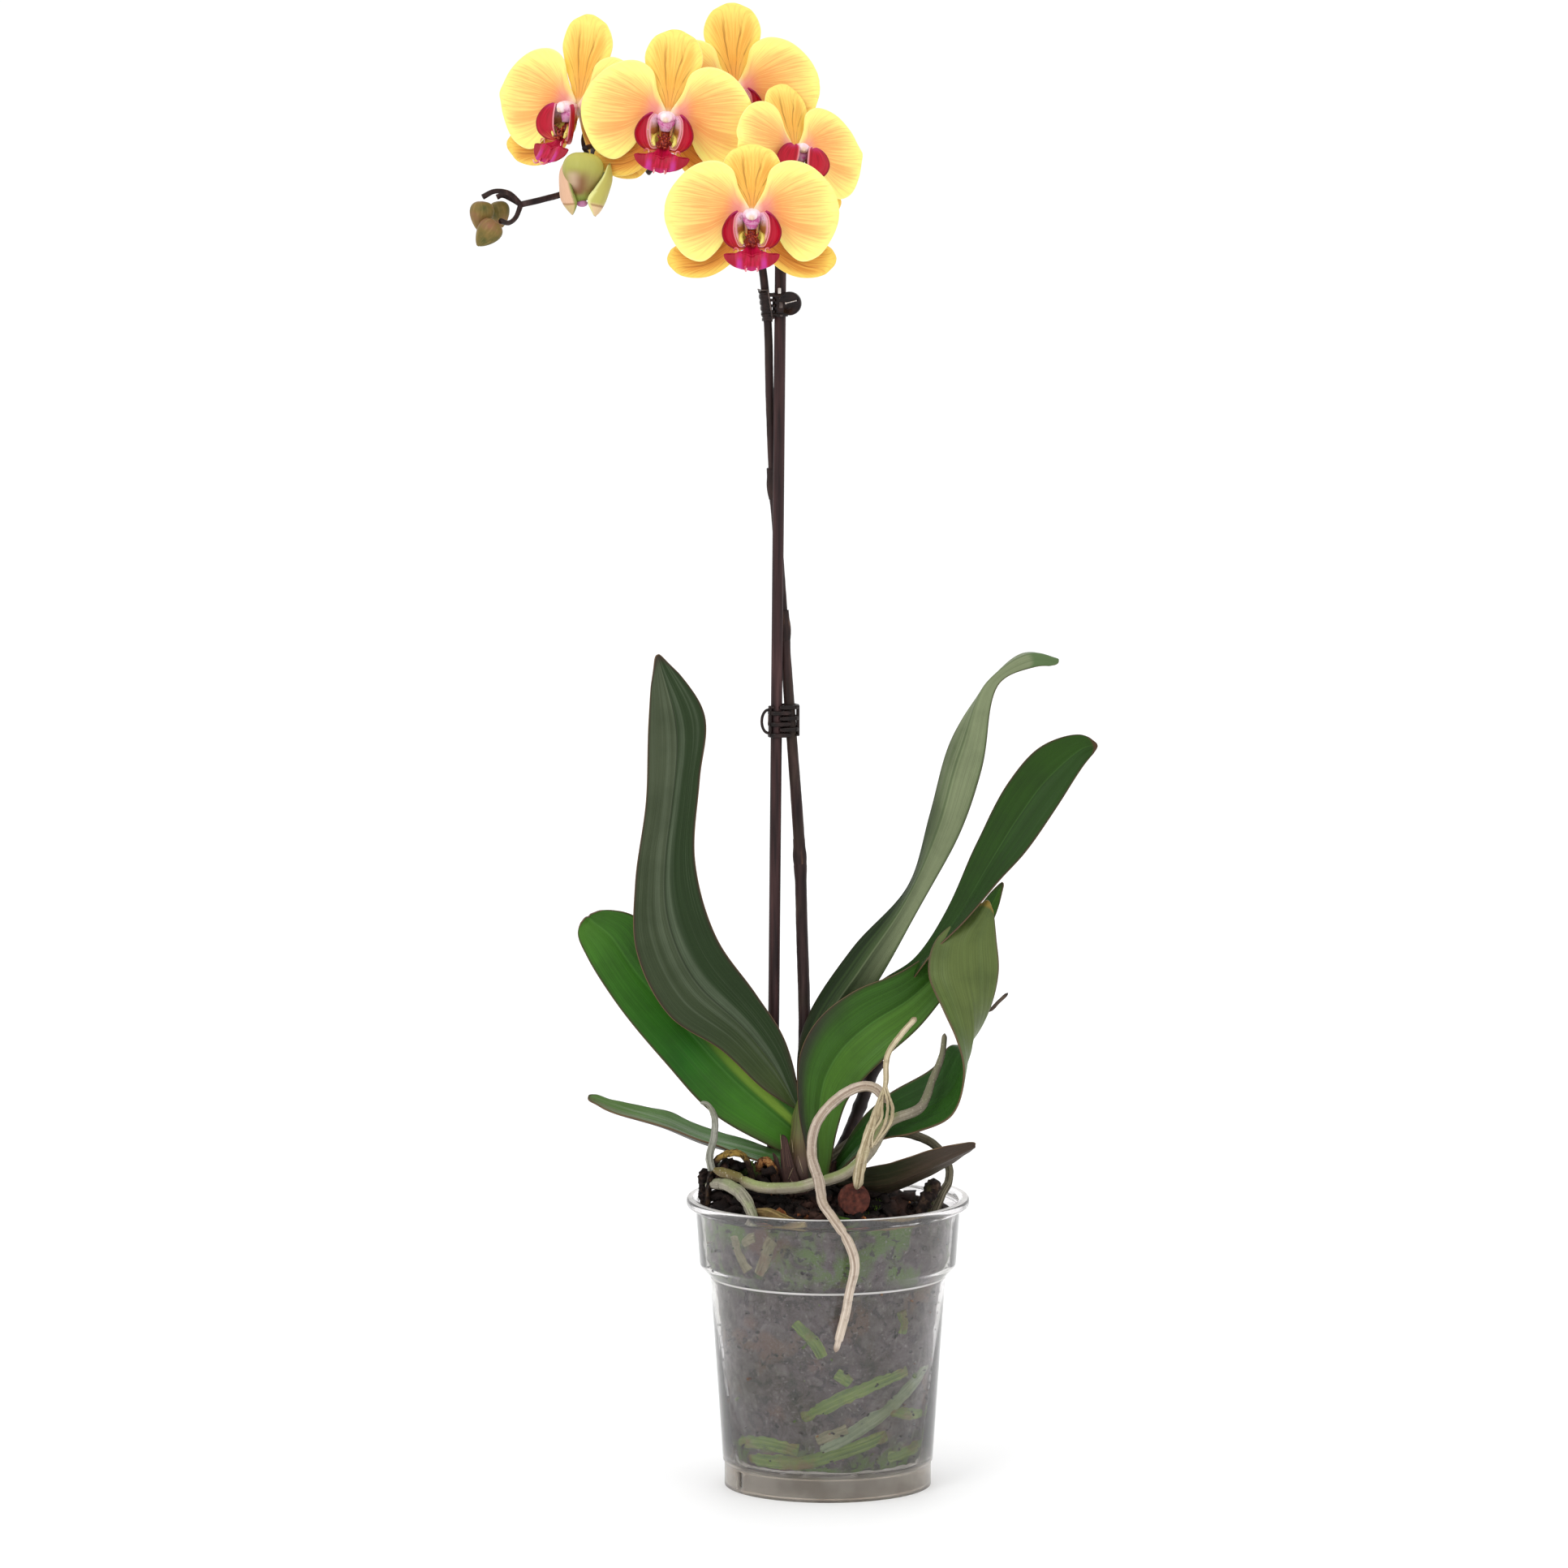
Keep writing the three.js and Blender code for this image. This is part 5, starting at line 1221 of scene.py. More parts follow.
def clipPlace(z):
    # the middle between stake and spike at a height, their half distance and their direction
    share = (z - stake["foot"][2]) / (stake["tip"][2] - stake["foot"][2])
    rod = Vector(stake["foot"]).lerp(Vector(stake["tip"]), share)
    stem = min(spikeLine, key=lambda point: abs(point.z - z))
    middle = (rod + stem) / 2
    middle.z = z
    gap = Vector((stem.x - rod.x, stem.y - rod.y, 0))
    return middle, gap.length / 2, math.atan2(gap.y, gap.x)


def bandRadius(height, thick):
    # a flat band with softened corners and rounded ends
    def radius(t, angle):
        ends = 0.6 + 0.4 * min(1, t * 14, (1 - t) * 14)
        across, deep = abs(math.cos(angle) * 2 / height), abs(math.sin(angle) * 2 / thick)
        return ends * (across ** 5 + deep ** 5) ** -0.2
    return radius


def fingerPart(reach, towards, height, bottom):
    # a flat band bent round both rods and open over a part of its front
    bend = clipShape["inner"] + clipShape["wall"] / 2
    turns = [-math.pi / 2 - math.pi * step / 12 for step in range(13)]
    outline = [(reach * 0.5 + 1, -bend)]
    outline += [(-reach + math.cos(angle) * bend, math.sin(angle) * bend) for angle in turns]
    outline.append((reach + 1.5, bend))
    route = [(x * towards, y, bottom + height / 2) for x, y in outline]
    return tubePart(route, bandRadius(height - 0.5, clipShape["wall"]), 20, 44, out=Vector((0, 0, 1)))


def boxPart(size, centre, corners=0.3, finish=0):
    part = newPart()
    bmesh.ops.create_cube(part, size=1, matrix=Matrix.LocRotScale(Vector(centre), None, Vector(size)))
    soften(part, part.edges, corners)
    return paint(part, finish)


def makeLowerClip(clip, reach):
    # clasped fingers from both sides, with a ring to press on beside the stake
    height = clip["fingers"] * clip["finger"]
    inner, wall = clipShape["inner"], clipShape["wall"]
    outer = reach + inner + wall
    parts = []
    for finger in range(clip["fingers"]):
        bottom = finger * clip["finger"] - height / 2
        parts.append(fingerPart(reach, 1 - finger % 2 * 2, clip["finger"], bottom))
    # the frame's X runs from the stake to the spike, so its back is +Y
    boxes = [((reach * 2, wall, height - 0.6), (0, inner + wall / 2, 0))]
    for sign in (-1, 1):
        boxes.append(((1.2, 2.2, height - 1), (sign * (outer - 0.7), -0.8, 0), 0.35))
        for end in (-1, 1):
            place = (sign * (outer - 1.4), -2.2, end * (height / 2 - 1.1))
            boxes.append(((1.6, 1.2, 0.9), place, 0.25))
    parts += [boxPart(*box) for box in boxes]
    size = height / 2 - 2.2
    turns = [math.pi * (0.5 - step / 16) for step in range(17)]
    ring = [(-outer - math.cos(a) * 2.9, -0.8, math.sin(a) * size) for a in turns]
    ring = [(0.4 - outer, -0.8, size), *ring, (0.4 - outer, -0.8, -size)]
    parts.append(tubePart(ring, 0.62, 14, 44))
    # a pale patch painted as a highlight on the bar that the ring hangs on
    parts.append(boxPart((0.5, 0.5, 4.4), (-outer - 0.2, -1.6, 0.6), 0.15, 1))
    return parts


def makeUpperClip(clip, reach):
    # a toothed plate on the spike, bars across to the stake, and a round tab
    inner, wall, high = clipShape["inner"], clipShape["wall"], clip["height"]
    outer = reach + inner + wall
    parts = [fingerPart(reach, 1, 1.6, bottom) for bottom in (high / 2 - 1.7, 0.1 - high / 2)]
    toothed, inward = [], []
    for step in range(clip["teeth"] * 2 + 1):
        x, z = between(clip["plate"][0], step / clip["teeth"] / 2)
        toothed.append((x - 0.8 * (step % 2), 0.4, z))
    for step in range(7):
        x, z = between(clip["plate"][1], step / 6)
        inward.append((x, inner + 0.7, z))
    domed = lambda side, t, width: 1.6 * (1 - side * side)
    parts.append(sheetPart([toothed, inward], 16, 60, domed, 1, tip=0))
    # the plate's edges, painted pale as highlights
    parts.append(tubePart([(x - 0.1, y + 0.4, z) for x, y, z in inward], 0.4, 10, 24, 1))
    topMiddle = ((toothed[-1][0] + inward[-1][0]) / 2, inner + 1.4, toothed[-1][2])
    parts.append(tubePart([toothed[-1], topMiddle, inward[-1]], 0.32, 8, 24, 1))
    for bar in range(clip["bars"]):
        height = (bar - (clip["bars"] - 1) / 2) * clip["bar"] - 0.3
        parts.append(boxPart((2.8, 1.3, 1.25), (-0.1, inner + 0.8, height), 0.22))
    barrel = [(-reach, 0, high * (step / 4 - 0.5)) for step in range(5)]
    parts.append(tubePart(barrel, lambda t, angle: 3.4 + 0.12 * math.cos(angle * 6), 36, 20))
    # pale patches painted as highlights on the dark plastic
    for x, height, wide, tall, finish in clip["worn"]:
        parts.append(boxPart((wide, 0.8, tall), (x, inner + 1, height), 0.3, finish))
    disc = newPart()
    turn = Matrix.Rotation(math.pi / 2, 4, "X")
    place = Matrix.Translation((-outer - clip["tabOut"], 1.8, 0.7)) @ turn
    bmesh.ops.create_cone(disc, cap_ends=True, segments=40, radius1=clip["tab"], radius2=clip["tab"],
                          depth=2.2, matrix=place)
    caps = [face for face in disc.faces if len(face.verts) > 4]
    bmesh.ops.inset_region(disc, faces=caps, thickness=0.7, depth=0)
    bmesh.ops.inset_region(disc, faces=caps, thickness=0.25, depth=-0.35)
    soften(disc, [line for line in disc.edges if line.calc_face_angle(0) > 1], 0.25)
    # a pale line painted across the tab as a highlight
    tabHighlight = [(-outer + 0.9, 3, 0.8), (-outer - 1.6, 3, 1.45), (-outer - 4, 3, 2.1)]
    parts += [disc, tubePart(tabHighlight, lambda t, angle: 0.2 if t > 0.1 else 0.42, 10, 24, 2)]
    return parts


# after the plastic itself: a grey and a near white, painted as highlights and glints
clipFinishes = [
    grained("clip plastic", 0.25, 0.2, (0.4, "120b0a"), (0.65, "281a18"), (0.9, "443230"), depth=0.0001,
            scale=300.0, detail=4),
    grained("clip edge highlight", 0.45, 0.4, (0.4, "332826"), (0.7, "6a5c58"), depth=0, scale=420.0,
            detail=4),
    grained("clip glint", 0.35, 0.5, (0.3, "a9a29e"), (0.7, "e2dedb"), depth=0, scale=500.0),
]
for name, make in (("clip_lower", makeLowerClip), ("clip_upper", makeUpperClip)):
    middle, reach, tilt = clipPlace(clips[name]["z"])
    place = Matrix.Translation(middle) @ Matrix.Rotation(tilt, 4, "Z")
    finishPiece(name + "_claw", make(clips[name], reach), [name], "clip", clipFinishes, place=place)
print("spike, stake and clips")


# Blooms are made in their own frame, in millimetres: +X to the right as seen, +Y up and +Z
# towards the viewer.

def fanPlace(skin):
    # across a blade, spreading from its foot to its rim, and along it
    reach = skin.axis("Y")
    turn = reach ** 0.8 * math.pi
    arch = turn.calc("SINE").calc("MAXIMUM", 0.0) ** 0.6
    off = (skin.axis("X") - 0.5) * arch
    return (off / (reach + 0.1), reach)


def fanLines(skin, count, length):
    # noise drawn out into lines that follow the fan
    fan, reach = fanPlace(skin)
    place = skin.node("ShaderNodeCombineXYZ", {"X": fan * count, "Y": reach * length})
    inputs = {"Vector": place, "Scale": 1.0, "Detail": 3.0, "Distortion": 0.35}
    return skin.node("ShaderNodeTexNoise", inputs)


def fanStripes(skin, count):
    # a few thin lines, each a little bent and broken
    fan = fanPlace(skin)[0]
    bend = skin.grain((3, 2, 1), detail=2, on="UV", shift=(3, 1, 0))
    turn = fan.calc("MULTIPLY_ADD", math.tau * count, bend * 7.0)
    line = turn.calc("COSINE").eased(0.82, 0.97)
    breaks = skin.grain((9, 5, 1), detail=2, on="UV", shift=(1, 7, 0))
    return line * breaks.eased(0.34, 0.5, 0.25, 1.0)


petalTones = {
    # the rim, the heart from its foot outwards, fine veins, and thin stripes: how many, how strong
    "petal": {"rim": "f9ed86", "heart": ("ea9a5a", "f3cc76"), "vein": "e4964e", "veins": 44,
              "pink": 0.75},
    "upper sepal": {
        "rim": "f6dd74", "heart": ("e8aa4a", "eec05e"), "vein": "d89a44", "veins": 30, "pink": 0.1,
        "stripes": (2.6, 0.55), "stripe": "8a5a20",
    },
    "lower sepal": {
        "rim": "edc95e", "heart": ("c67e2e", "d99a42"), "vein": "b86c28", "veins": 26, "pink": 0,
        "stripes": (2.2, 0.6), "stripe": "a05c22",
    },
}


def petalFinish(name):
    tones = petalTones[name]
    skin = Finish(name, roughness=0.55, gloss=0.15, Subsurface_Weight=0.12, Subsurface_Scale=0.002)
    side = skin.midline()
    reach = skin.axis("Y")
    outward = (side ** 1.7).calc("MAXIMUM", reach ** 2.4)
    cloud = skin.grain(scale=55.0, detail=3)
    outward = outward + cloud.calc("MULTIPLY_ADD", 0.36, -0.18)
    heart = tones["heart"]
    skin.paint(outward.ramp((0.08, heart[0]), (0.4, heart[1]), (0.72, tones["rim"]), (1.0, tones["rim"])))
    fine = fanLines(skin, tones["veins"], 2.6)
    fade = outward.eased(0.3, 1.05, 1.0, 0.3)
    veinShare = fine.eased(0.48, 0.64, 0.0, 0.42) * fade
    skin.coat(veinShare, tones["vein"])
    paleShare = fine.eased(0.36, 0.5, 0.26, 0.0) * fade
    skin.coat(paleShare, tones["rim"])
    if "stripes" in tones:
        count, strength = tones["stripes"]
        within = side.eased(0.5, 0.8, 1, 0) * reach.eased(0.55, 0.85, 1, 0)
        within = within * reach.eased(0.08, 0.2, 0.2, 1) * strength
        skin.coat(fanStripes(skin, count) * within, tones["stripe"])
    nearFoot = reach.eased(0.06, 0.4, 1, 0) * side.eased(0.2, 1.0, 1, 0.1)
    skin.coat(nearFoot * tones["pink"], "e28a92")
    skin.coat(reach.eased(0.02, 0.12, 0.7, 0), "fbead0")
    skin.coat(side.eased(0.94, 1.0, 0, 0.5), "fdf2a4")
    skin.relief(fine, depth=0.00025, strength=0.4)
    return skin


petalFinishes = [petalFinish(name) for name in petalTones]


def wavyLift(crown, seed, hollow=0.0):
    def lift(side, t, width):
        wave = 0.5 * abs(side) ** 2 * noise.noise(Vector((t * 5, seed, 2 if side > 0 else 7)))
        wave += 0.22 * noise.noise(Vector((t * 9, side * 3, seed)))
        fold = hollow * math.exp(-(side * width / 2 / 1.6) ** 2) * math.sin(t * math.pi)
        return crown * (1 - abs(side) ** 1.6) + wave - fold
    return lift


petal = {
    "crown": 1.6,
    "margins": [
        [(0.8, 1, 0.2), (5.5, 10, 1), (8, 18, 1.6), (15, 21.6, 1.8), (24.5, 19.3, 2.2),
         (32.5, 11.5, 2.6), (36.3, 3, 2.6)],
        [(1, -2, 0.2), (9.5, -8, 1), (14, -15.5, 1), (20.5, -20.6, 1), (28, -18.2, 1.6), (34, -9.5, 2.2),
         (36.5, -1, 2.6)],
    ],
}
hoodSepal = {
    "crown": 1.0,
    "margins": bothSides([(-2.6, -1, -1.4), (-5.4, 7, -1.6), (-9.6, 15, -2), (-12.3, 23.5, -2.4),
                          (-9.8, 31, -2.6), (-4, 35.9, -2.6)]),
}
skirtSepal = {
    "crown": 1.2,
    "margins": [
        [(1.6, -0.6, -1.6), (12, -8.5, -2.4), (23, -12.5, -3.2), (31, -13.6, -4), (35.6, -17.4, -4.4)],
        [(-0.6, -3, -1.6), (6.5, -19, -2.4), (17, -26.5, -3.2), (28, -26.8, -4), (34.6, -22.9, -4.4)],
    ],
}


def scaled(margins, across, up):
    return [[(x * across, y * up, z) for x, y, z in margin] for margin in margins]


def makeTepals(bloom, seed):
    upper = scaled(hoodSepal["margins"], 1, bloom["hood"])
    lower = scaled(skirtSepal["margins"], bloom["spread"], 1)
    wings = petal["margins"]
    hood, skirt, wing = hoodSepal["crown"], skirtSepal["crown"], petal["crown"]
    return [
        bladePart(upper, 18, 30, wavyLift(hood, seed, 0.5), 1, tip=0.13),
        bladePart(lower, 18, 28, wavyLift(skirt, seed + 2, 0.4), 2, tip=0.13),
        bladePart(mirrored(lower), 18, 28, wavyLift(skirt, seed + 4, 0.4), 2, tip=0.13),
        bladePart(wings, 26, 30, wavyLift(wing, seed + 6), 0, tip=0.04),
        bladePart(mirrored(wings), 26, 30, wavyLift(wing, seed + 8), 0, tip=0.04, flip=True),
    ]


hubFinish = mottled("flower base", 0.5, 0.2, ("f3ddcc", "eebfc4"), relief=True, scale=300.0)

# The lip and the column are painted on a chart of their own frame: the map's X and Y are the
# place across and up, with the middle of the bloom in the middle of the chart.
chartWidth = 60


def frontChart(part):
    chart = part.loops.layers.uv.active
    for face in part.faces:
        for loop in face.loops:
            loop[chart].uv = (loop.vert.co.x / chartWidth + 0.5, loop.vert.co.y / chartWidth + 0.5)
    return part


def chartPlace(skin):
    # distance from the middle, and height, in millimetres
    across = skin.axis("X").calc("MULTIPLY_ADD", chartWidth, -chartWidth / 2)
    up = skin.axis("Y").calc("MULTIPLY_ADD", chartWidth, -chartWidth / 2)
    return (abs(across), up)


lobeFinish = Finish("lip lobe", roughness=0.45, gloss=0.25)
lobeGrain = lobeFinish.grain((9, 2, 1), detail=3, on="UV")
lobeFinish.paint(lobeGrain.ramp((0.3, "90001c"), (0.5, "ae0224"), (0.75, "bc0c32")))
lobeAcross = lobeFinish.axis("X")
lobeReach = lobeFinish.axis("Y")
lobeFinish.coat(lobeAcross.eased(0.0, 0.1, 0.75, 0), "6f0016")
lobeFinish.coat(lobeReach.eased(0.7, 1.0, 0, 0.45), "c0357c")
footStripes = fanLines(lobeFinish, 9, 1.0).eased(0.5, 0.58) * lobeReach.eased(0.1, 0.34, 0.85, 0)
lobeFinish.coat(footStripes, "e07a4a")
lobeFinish.coat(lobeAcross.eased(0.9, 1.0, 0, 0.85), "e6a0a8")
lobeFinish.relief(lobeGrain)

wallFinish = Finish("lip inner wall", roughness=0.5, gloss=0.2)
wallSpeck = wallFinish.grain(scale=900.0, detail=3)
wallUp = wallFinish.grain(scale=400.0).calc("MULTIPLY_ADD", 0.12, wallFinish.axis("Y"))
wallFinish.paint(wallUp.ramp((0.08, "8a1420"), (0.2, "b4503a"), (0.3, "cdbb45"), (0.44, "cfbb50"),
                             (0.52, "8f5220"), (0.62, "a06a32"), (0.72, "c49a90"), (0.82, "d8b8c4"),
                             (1.0, "e2b4cc")))
wallFinish.coat(wallSpeck.eased(0.54, 0.62, 0, 0.5), "a03a3c")
wallFinish.coat(wallFinish.axis("X").eased(0.06, 0.2, 0.8, 0), "dd98a4")
wallFinish.relief(wallSpeck)

midFinish = Finish("lip middle lobe", roughness=0.45, gloss=0.25)
midOff, midUp = chartPlace(midFinish)
midGrain = midFinish.grain((60, 14, 1), scale=1.0, on="UV")
midFinish.paint(midGrain.ramp((0.35, "9c0426"), (0.6, "bb0a3c"), (0.8, "c51a55")))
midStrip = midOff.eased(3.4, 4.8) * midOff.eased(5.4, 6.8, 1, 0)
midStrip = midStrip * midUp.eased(-21.6, -17.8, 0.85, 0.1)
midFinish.coat(midStrip, "bb348c")
midFinish.coat(midOff.eased(6.4, 7.2, 0, 0.75), "92041f")
midFinish.coat(midUp.eased(-23.8, -22.2, 0.4, 0), "b83a8c")
midFinish.coat(midUp.eased(-15.4, -13.6, 0, 0.6), "b5482c")
midFinish.relief(midGrain)

callusFinish = grained("lip callus", 0.4, 0.3, (0.4, "5c0a10"), (0.54, "8a2014"), (0.7, "c05a24"),
                       depth=0.0004, scale=1300.0, detail=2)
keelFinish = Finish("lip yellow keel", roughness=0.4, gloss=0.3)
keelSpeck = keelFinish.grain(scale=1000.0, detail=2)
keelFinish.paint(keelFinish.axis("Y").ramp((0.0, "8f5a24"), (0.25, "c9b04a"), (0.8, "e3d873")))
keelFinish.coat(keelSpeck.eased(0.6, 0.66, 0, 0.7), "8f3a14")
keelFinish.relief(keelSpeck)
# tails and curls run from crimson to near white at their ends: partly their own pale tips, partly painted
# highlights
tailFinish = Finish("lip tail", roughness=0.4, gloss=0.3)
tailFinish.paint(tailFinish.axis("Y").ramp((0.2, "b01040"), (0.6, "e6a0a8"), (1.0, "fdf6f2")))
tailFinish.coat(tailFinish.grain(scale=700.0), "d8506a")

columnFinish = Finish("column", roughness=0.45, gloss=0.25)
columnUp = chartPlace(columnFinish)[1]
columnVein = columnFinish.grain(scale=650.0, detail=3, distortion=0.8)
columnTone = columnUp.calc("MULTIPLY_ADD", 0.12, 0.9)
columnFinish.paint(columnTone.ramp((0.0, "b79aa8"), (0.22, "c48aa8"), (0.5, "d98fb8"), (0.75, "eec2d6"),
                                   (1.0, "f7e0e4")))
columnSpecks = columnVein.eased(0.48, 0.6) * columnUp.eased(-3.6, -0.6, 0.75, 0.2)
columnFinish.coat(columnSpecks, "b83a86")
columnFinish.relief(columnVein)
capFinish = Finish("anther cap", roughness=0.35, gloss=0.3)
capOff, capUp = chartPlace(capFinish)
capShade = capFinish.grain(scale=300.0)
capFinish.paint(capFinish.blend(capShade.eased(0.45, 0.7), "f3dfe2", "e8c2cc"))
capLow = capOff.eased(0.5, 1.7, 0.8, 0) * capUp.eased(-2.2, -0.6, 1, 0)
capFinish.coat(capLow, "d9bfa0")
capFinish.relief(capShade)

lip = {
    "side": [
        [(1.6, -15.2, 7.5), (6.6, -15.3, 9.5), (11, -12.6, 11.8), (12.3, -8.4, 12.4), (11, -4.4, 12),
         (8.4, -1.2, 10.8), (5.3, 0.5, 9.2)],
        [(1.2, -13.6, 7), (4.8, -14.2, 8.2), (6.2, -11.6, 9), (7.1, -8, 9.6), (7.1, -4.6, 9.6),
         (6.6, -2, 9.4), (5, 0.2, 9)],
    ],
    "closed": [(0.8, -13.4, 7), (2.6, -13.2, 8.4), (2.4, -10, 10.2), (2, -7, 11), (1.9, -4, 11.3),
               (2.2, -1.4, 11), (3.6, 0.4, 10)],
    "wall": [
        [(1.2, -13.4, 6.8), (4.6, -13.8, 7.9), (6, -11.3, 8.7), (6.9, -8, 9.3), (6.9, -4.6, 9.3),
         (6.4, -2, 9.1), (4.8, 0.1, 8.8)],
        [(0.6, -11, 4.6), (2.4, -10.8, 3.6), (2.8, -8.4, 3), (3.1, -6, 3), (3.3, -4, 3.4),
         (3.4, -2, 4.2), (3.2, -0.4, 5)],
    ],
    "middle": bothSides([(-2.2, -12.5, 7), (-3, -15.2, 9), (-6.8, -16.8, 11.4), (-11.6, -17, 12.6),
                         (-11, -19.6, 13.4), (-7.8, -22.3, 14.6), (-4.4, -23.8, 15.4)]),
    "tail": [(2.6, -22.6, 14.9), (2.5, -24.4, 16.4), (2.3, -24.6, 18.2), (2.1, -23.4, 19.2)],
    # two small curls at the foot of the middle lobe, their pale ends partly painted highlights
    "fold": [(7.6, -16.2, 12.3), (6.9, -14.9, 12.4), (5.8, -15.2, 12), (5.7, -16.5, 11.8)],
    "claw": [(0, -5.4, 3.4), (0, -8.4, 4.6), (0, -12, 6.6)],
    "keel": [(3.4, -8, 7.4), (4.5, -10, 8.2), (4.4, -12, 8.8), (3.6, -13.4, 9)],
    "horn": [(1.5, -10.6, 8.6), (2.3, -9.6, 9.4), (2.9, -8.6, 9.8)],
    "bumps": 9,
}


def lobeLift(side, t, width):
    return 1.5 * (1 - abs(side) ** 1.8)


def wallLift(side, t, width):
    return 0.6 * (side * side - 1)


def middleLift(side, t, width):
    ridge = 0.9 * math.exp(-(side * width / 2 / 1.2) ** 2)
    curl = 1.5 * max(0, abs(side) - 0.5) * math.sin(t * math.pi)
    crease = 0.5 * math.exp(-((abs(side) * width / 2 - 5.2) / 0.8) ** 2)
    return 0.8 * (1 - abs(side) ** 1.6) + ridge + curl - crease


def makeLobes(closed):
    # closed says which side lobes, left or right, stand in front of the column
    side, shut = lip["side"], [lip["side"][0], lip["closed"]]
    right, left = (shut if name in closed else side for name in ("right", "left"))
    return [
        bladePart(right, 14, 26, lobeLift, 0, tip=0.03),
        bladePart(mirrored(left), 14, 26, lobeLift, 0, tip=0.03, flip=True),
        bladePart(lip["wall"], 10, 26, wallLift, 1, tip=0),
        bladePart(mirrored(lip["wall"]), 10, 26, wallLift, 1, tip=0, flip=True),
        frontChart(bladePart(lip["middle"], 30, 26, middleLift, 2, tip=0.03)),
    ]


def makeCallus():
    parts = [tubePart(lip["claw"], 1.9, 16, 10), blobPart((0, -11.9, 8.2), (2.1, 2.1, 1.5))]
    lumps = random.Random(5)
    for bump in range(lip["bumps"]):
        spot = (lumps.uniform(-2.3, 2.3), lumps.uniform(-14.6, -9.8), 9.2 + lumps.random() * 0.5)
        parts.append(blobPart(spot, [0.35 + lumps.random() * 0.45] * 3, detail=2))
    strands = (
        ("tail", lambda t, angle: 0.5 - t * 0.28, 10, 18, 2),
        ("fold", 0.2, 8, 12, 2),
        ("keel", lambda t, angle: along([0.3, 0.75, 0.95, 0.5], t), 12, 16, 1),
        ("horn", lambda t, angle: 0.75 - 0.55 * t, 10, 12, 0),
    )
    for sign in (-1, 1):
        for name, *shape in strands:
            parts.append(tubePart([(x * sign, y, z) for x, y, z in lip[name]], *shape))
    return parts


columnShape = {
    "route": [(0, -1.4, 2.9), (0, -0.8, 5.5), (0, -1.2, 8), (0, -2, 9.6)],
    "across": [2.2, 3.2, 3.9, 2.6],
    "deep": [2.2, 2.3, 2.5, 1.7],
    "bib": bothSides([(-3.7, -0.6, 7.4), (-3.7, -2.8, 8), (-3, -4.8, 8.2), (-1.9, -7.2, 7.8)]),
}


def makeColumn():
    def radius(t, angle):
        across, deep = along(columnShape["across"], t), along(columnShape["deep"], t)
        return 1 / math.hypot(math.cos(angle) / deep, math.sin(angle) / across)

    def hollow(side, t, width):
        return 1.5 * abs(side) ** 2.2
    parts = [
        tubePart(columnShape["route"], radius, 28, 24, out=Vector((0, 1, 0))),
        # the hollow under the cap, between the column's two edges
        sheetPart(mirrored(columnShape["bib"]), 18, 16, hollow, 0.6, tip=0),
        blobPart((0, -1.2, 9.2), (2.7, 2.3, 1.7), 1),
        blobPart((0, -2.3, 10.2), (1.2, 1.1, 0.9), 1, detail=2),
    ]
    return [frontChart(part) for part in parts]


for index, (name, bloom) in enumerate(blooms.items()):
    place = bloomPlace(bloom)
    finishPiece(name + "_petals", makeTepals(bloom, index * 11), [name + "_tepals"], "tepal",
                petalFinishes, wall=0.8, levels=1, place=place)
    hub = [tubePart([(0, -1, -0.4), (0, -1, -3), (0, -1, -7)], lambda t, angle: 3.2 - 1.7 * t, 20, 10)]
    finishPiece(name + "_hub", hub, [name + "_tepals"], "tepal", [hubFinish], place=place)
    place = lipPlace(bloom)
    lobes = [lobeFinish, wallFinish, midFinish]
    finishPiece(name + "_lip_lobes", makeLobes(bloom.get("closed", ())), [name + "_lip"], "lip", lobes,
                wall=0.7, levels=1, place=place)
    heart = [callusFinish, keelFinish, tailFinish]
    finishPiece(name + "_lip_callus", makeCallus(), [name + "_lip"], "lip", heart, place=place)
    column = [columnFinish, capFinish]
    finishPiece(name + "_column_cap", makeColumn(), [name + "_column"], "column", column, place=place)
print("blooms")


# Buds

buds = {
    "bud_opening": {"top": (-102.2, -7, 567.4), "bottom": (-104.2, -10.6, 546), "radius": 8.8},
    "bud_small_1": {"top": (-145, 3, 546), "bottom": (-146, 3, 533), "radius": 5.2},
    "bud_small_2": {"top": (-139, 13, 545), "bottom": (-137, 14, 534), "radius": 4.4},
    "bud_small_3": {"top": (-139, -3, 538), "bottom": (-147, -4, 528), "radius": 5.4},
}
budDome = Finish("opening bud", roughness=0.45, gloss=0.3)
domeRound, domeDown = budDome.axis("X"), budDome.axis("Y")
domeGrain = budDome.grain((30, 3, 1), detail=3, on="UV")
domeTone = domeGrain.calc("MULTIPLY_ADD", 0.14, domeDown)
budDome.paint(domeTone.ramp((0.12, "b4b058"), (0.4, "a3a04e"), (0.62, "93854c"), (0.8, "8a7040"),
                            (0.92, "8c9442"), (1.0, "72822e")))
brownSide = abs(domeRound - 0.27)
brownPatch = brownSide.eased(0.02, 0.13, 0.85, 0) * domeDown.eased(0.3, 0.6)
brownPatch = brownPatch * domeDown.eased(0.78, 0.88, 1, 0)
budDome.coat(brownPatch, "7a4c30")
# a pale beige patch left of the middle of the dome, painted as a highlight
highlightSide = abs(domeRound - 0.33)
highlightPatch = highlightSide.eased(0.0, 0.1, 0.55, 0) * domeDown.eased(0.35, 0.5)
budDome.coat(highlightPatch * domeDown.eased(0.6, 0.8, 1, 0), "d0b49a")
budDome.relief(domeGrain, depth=0.0002)


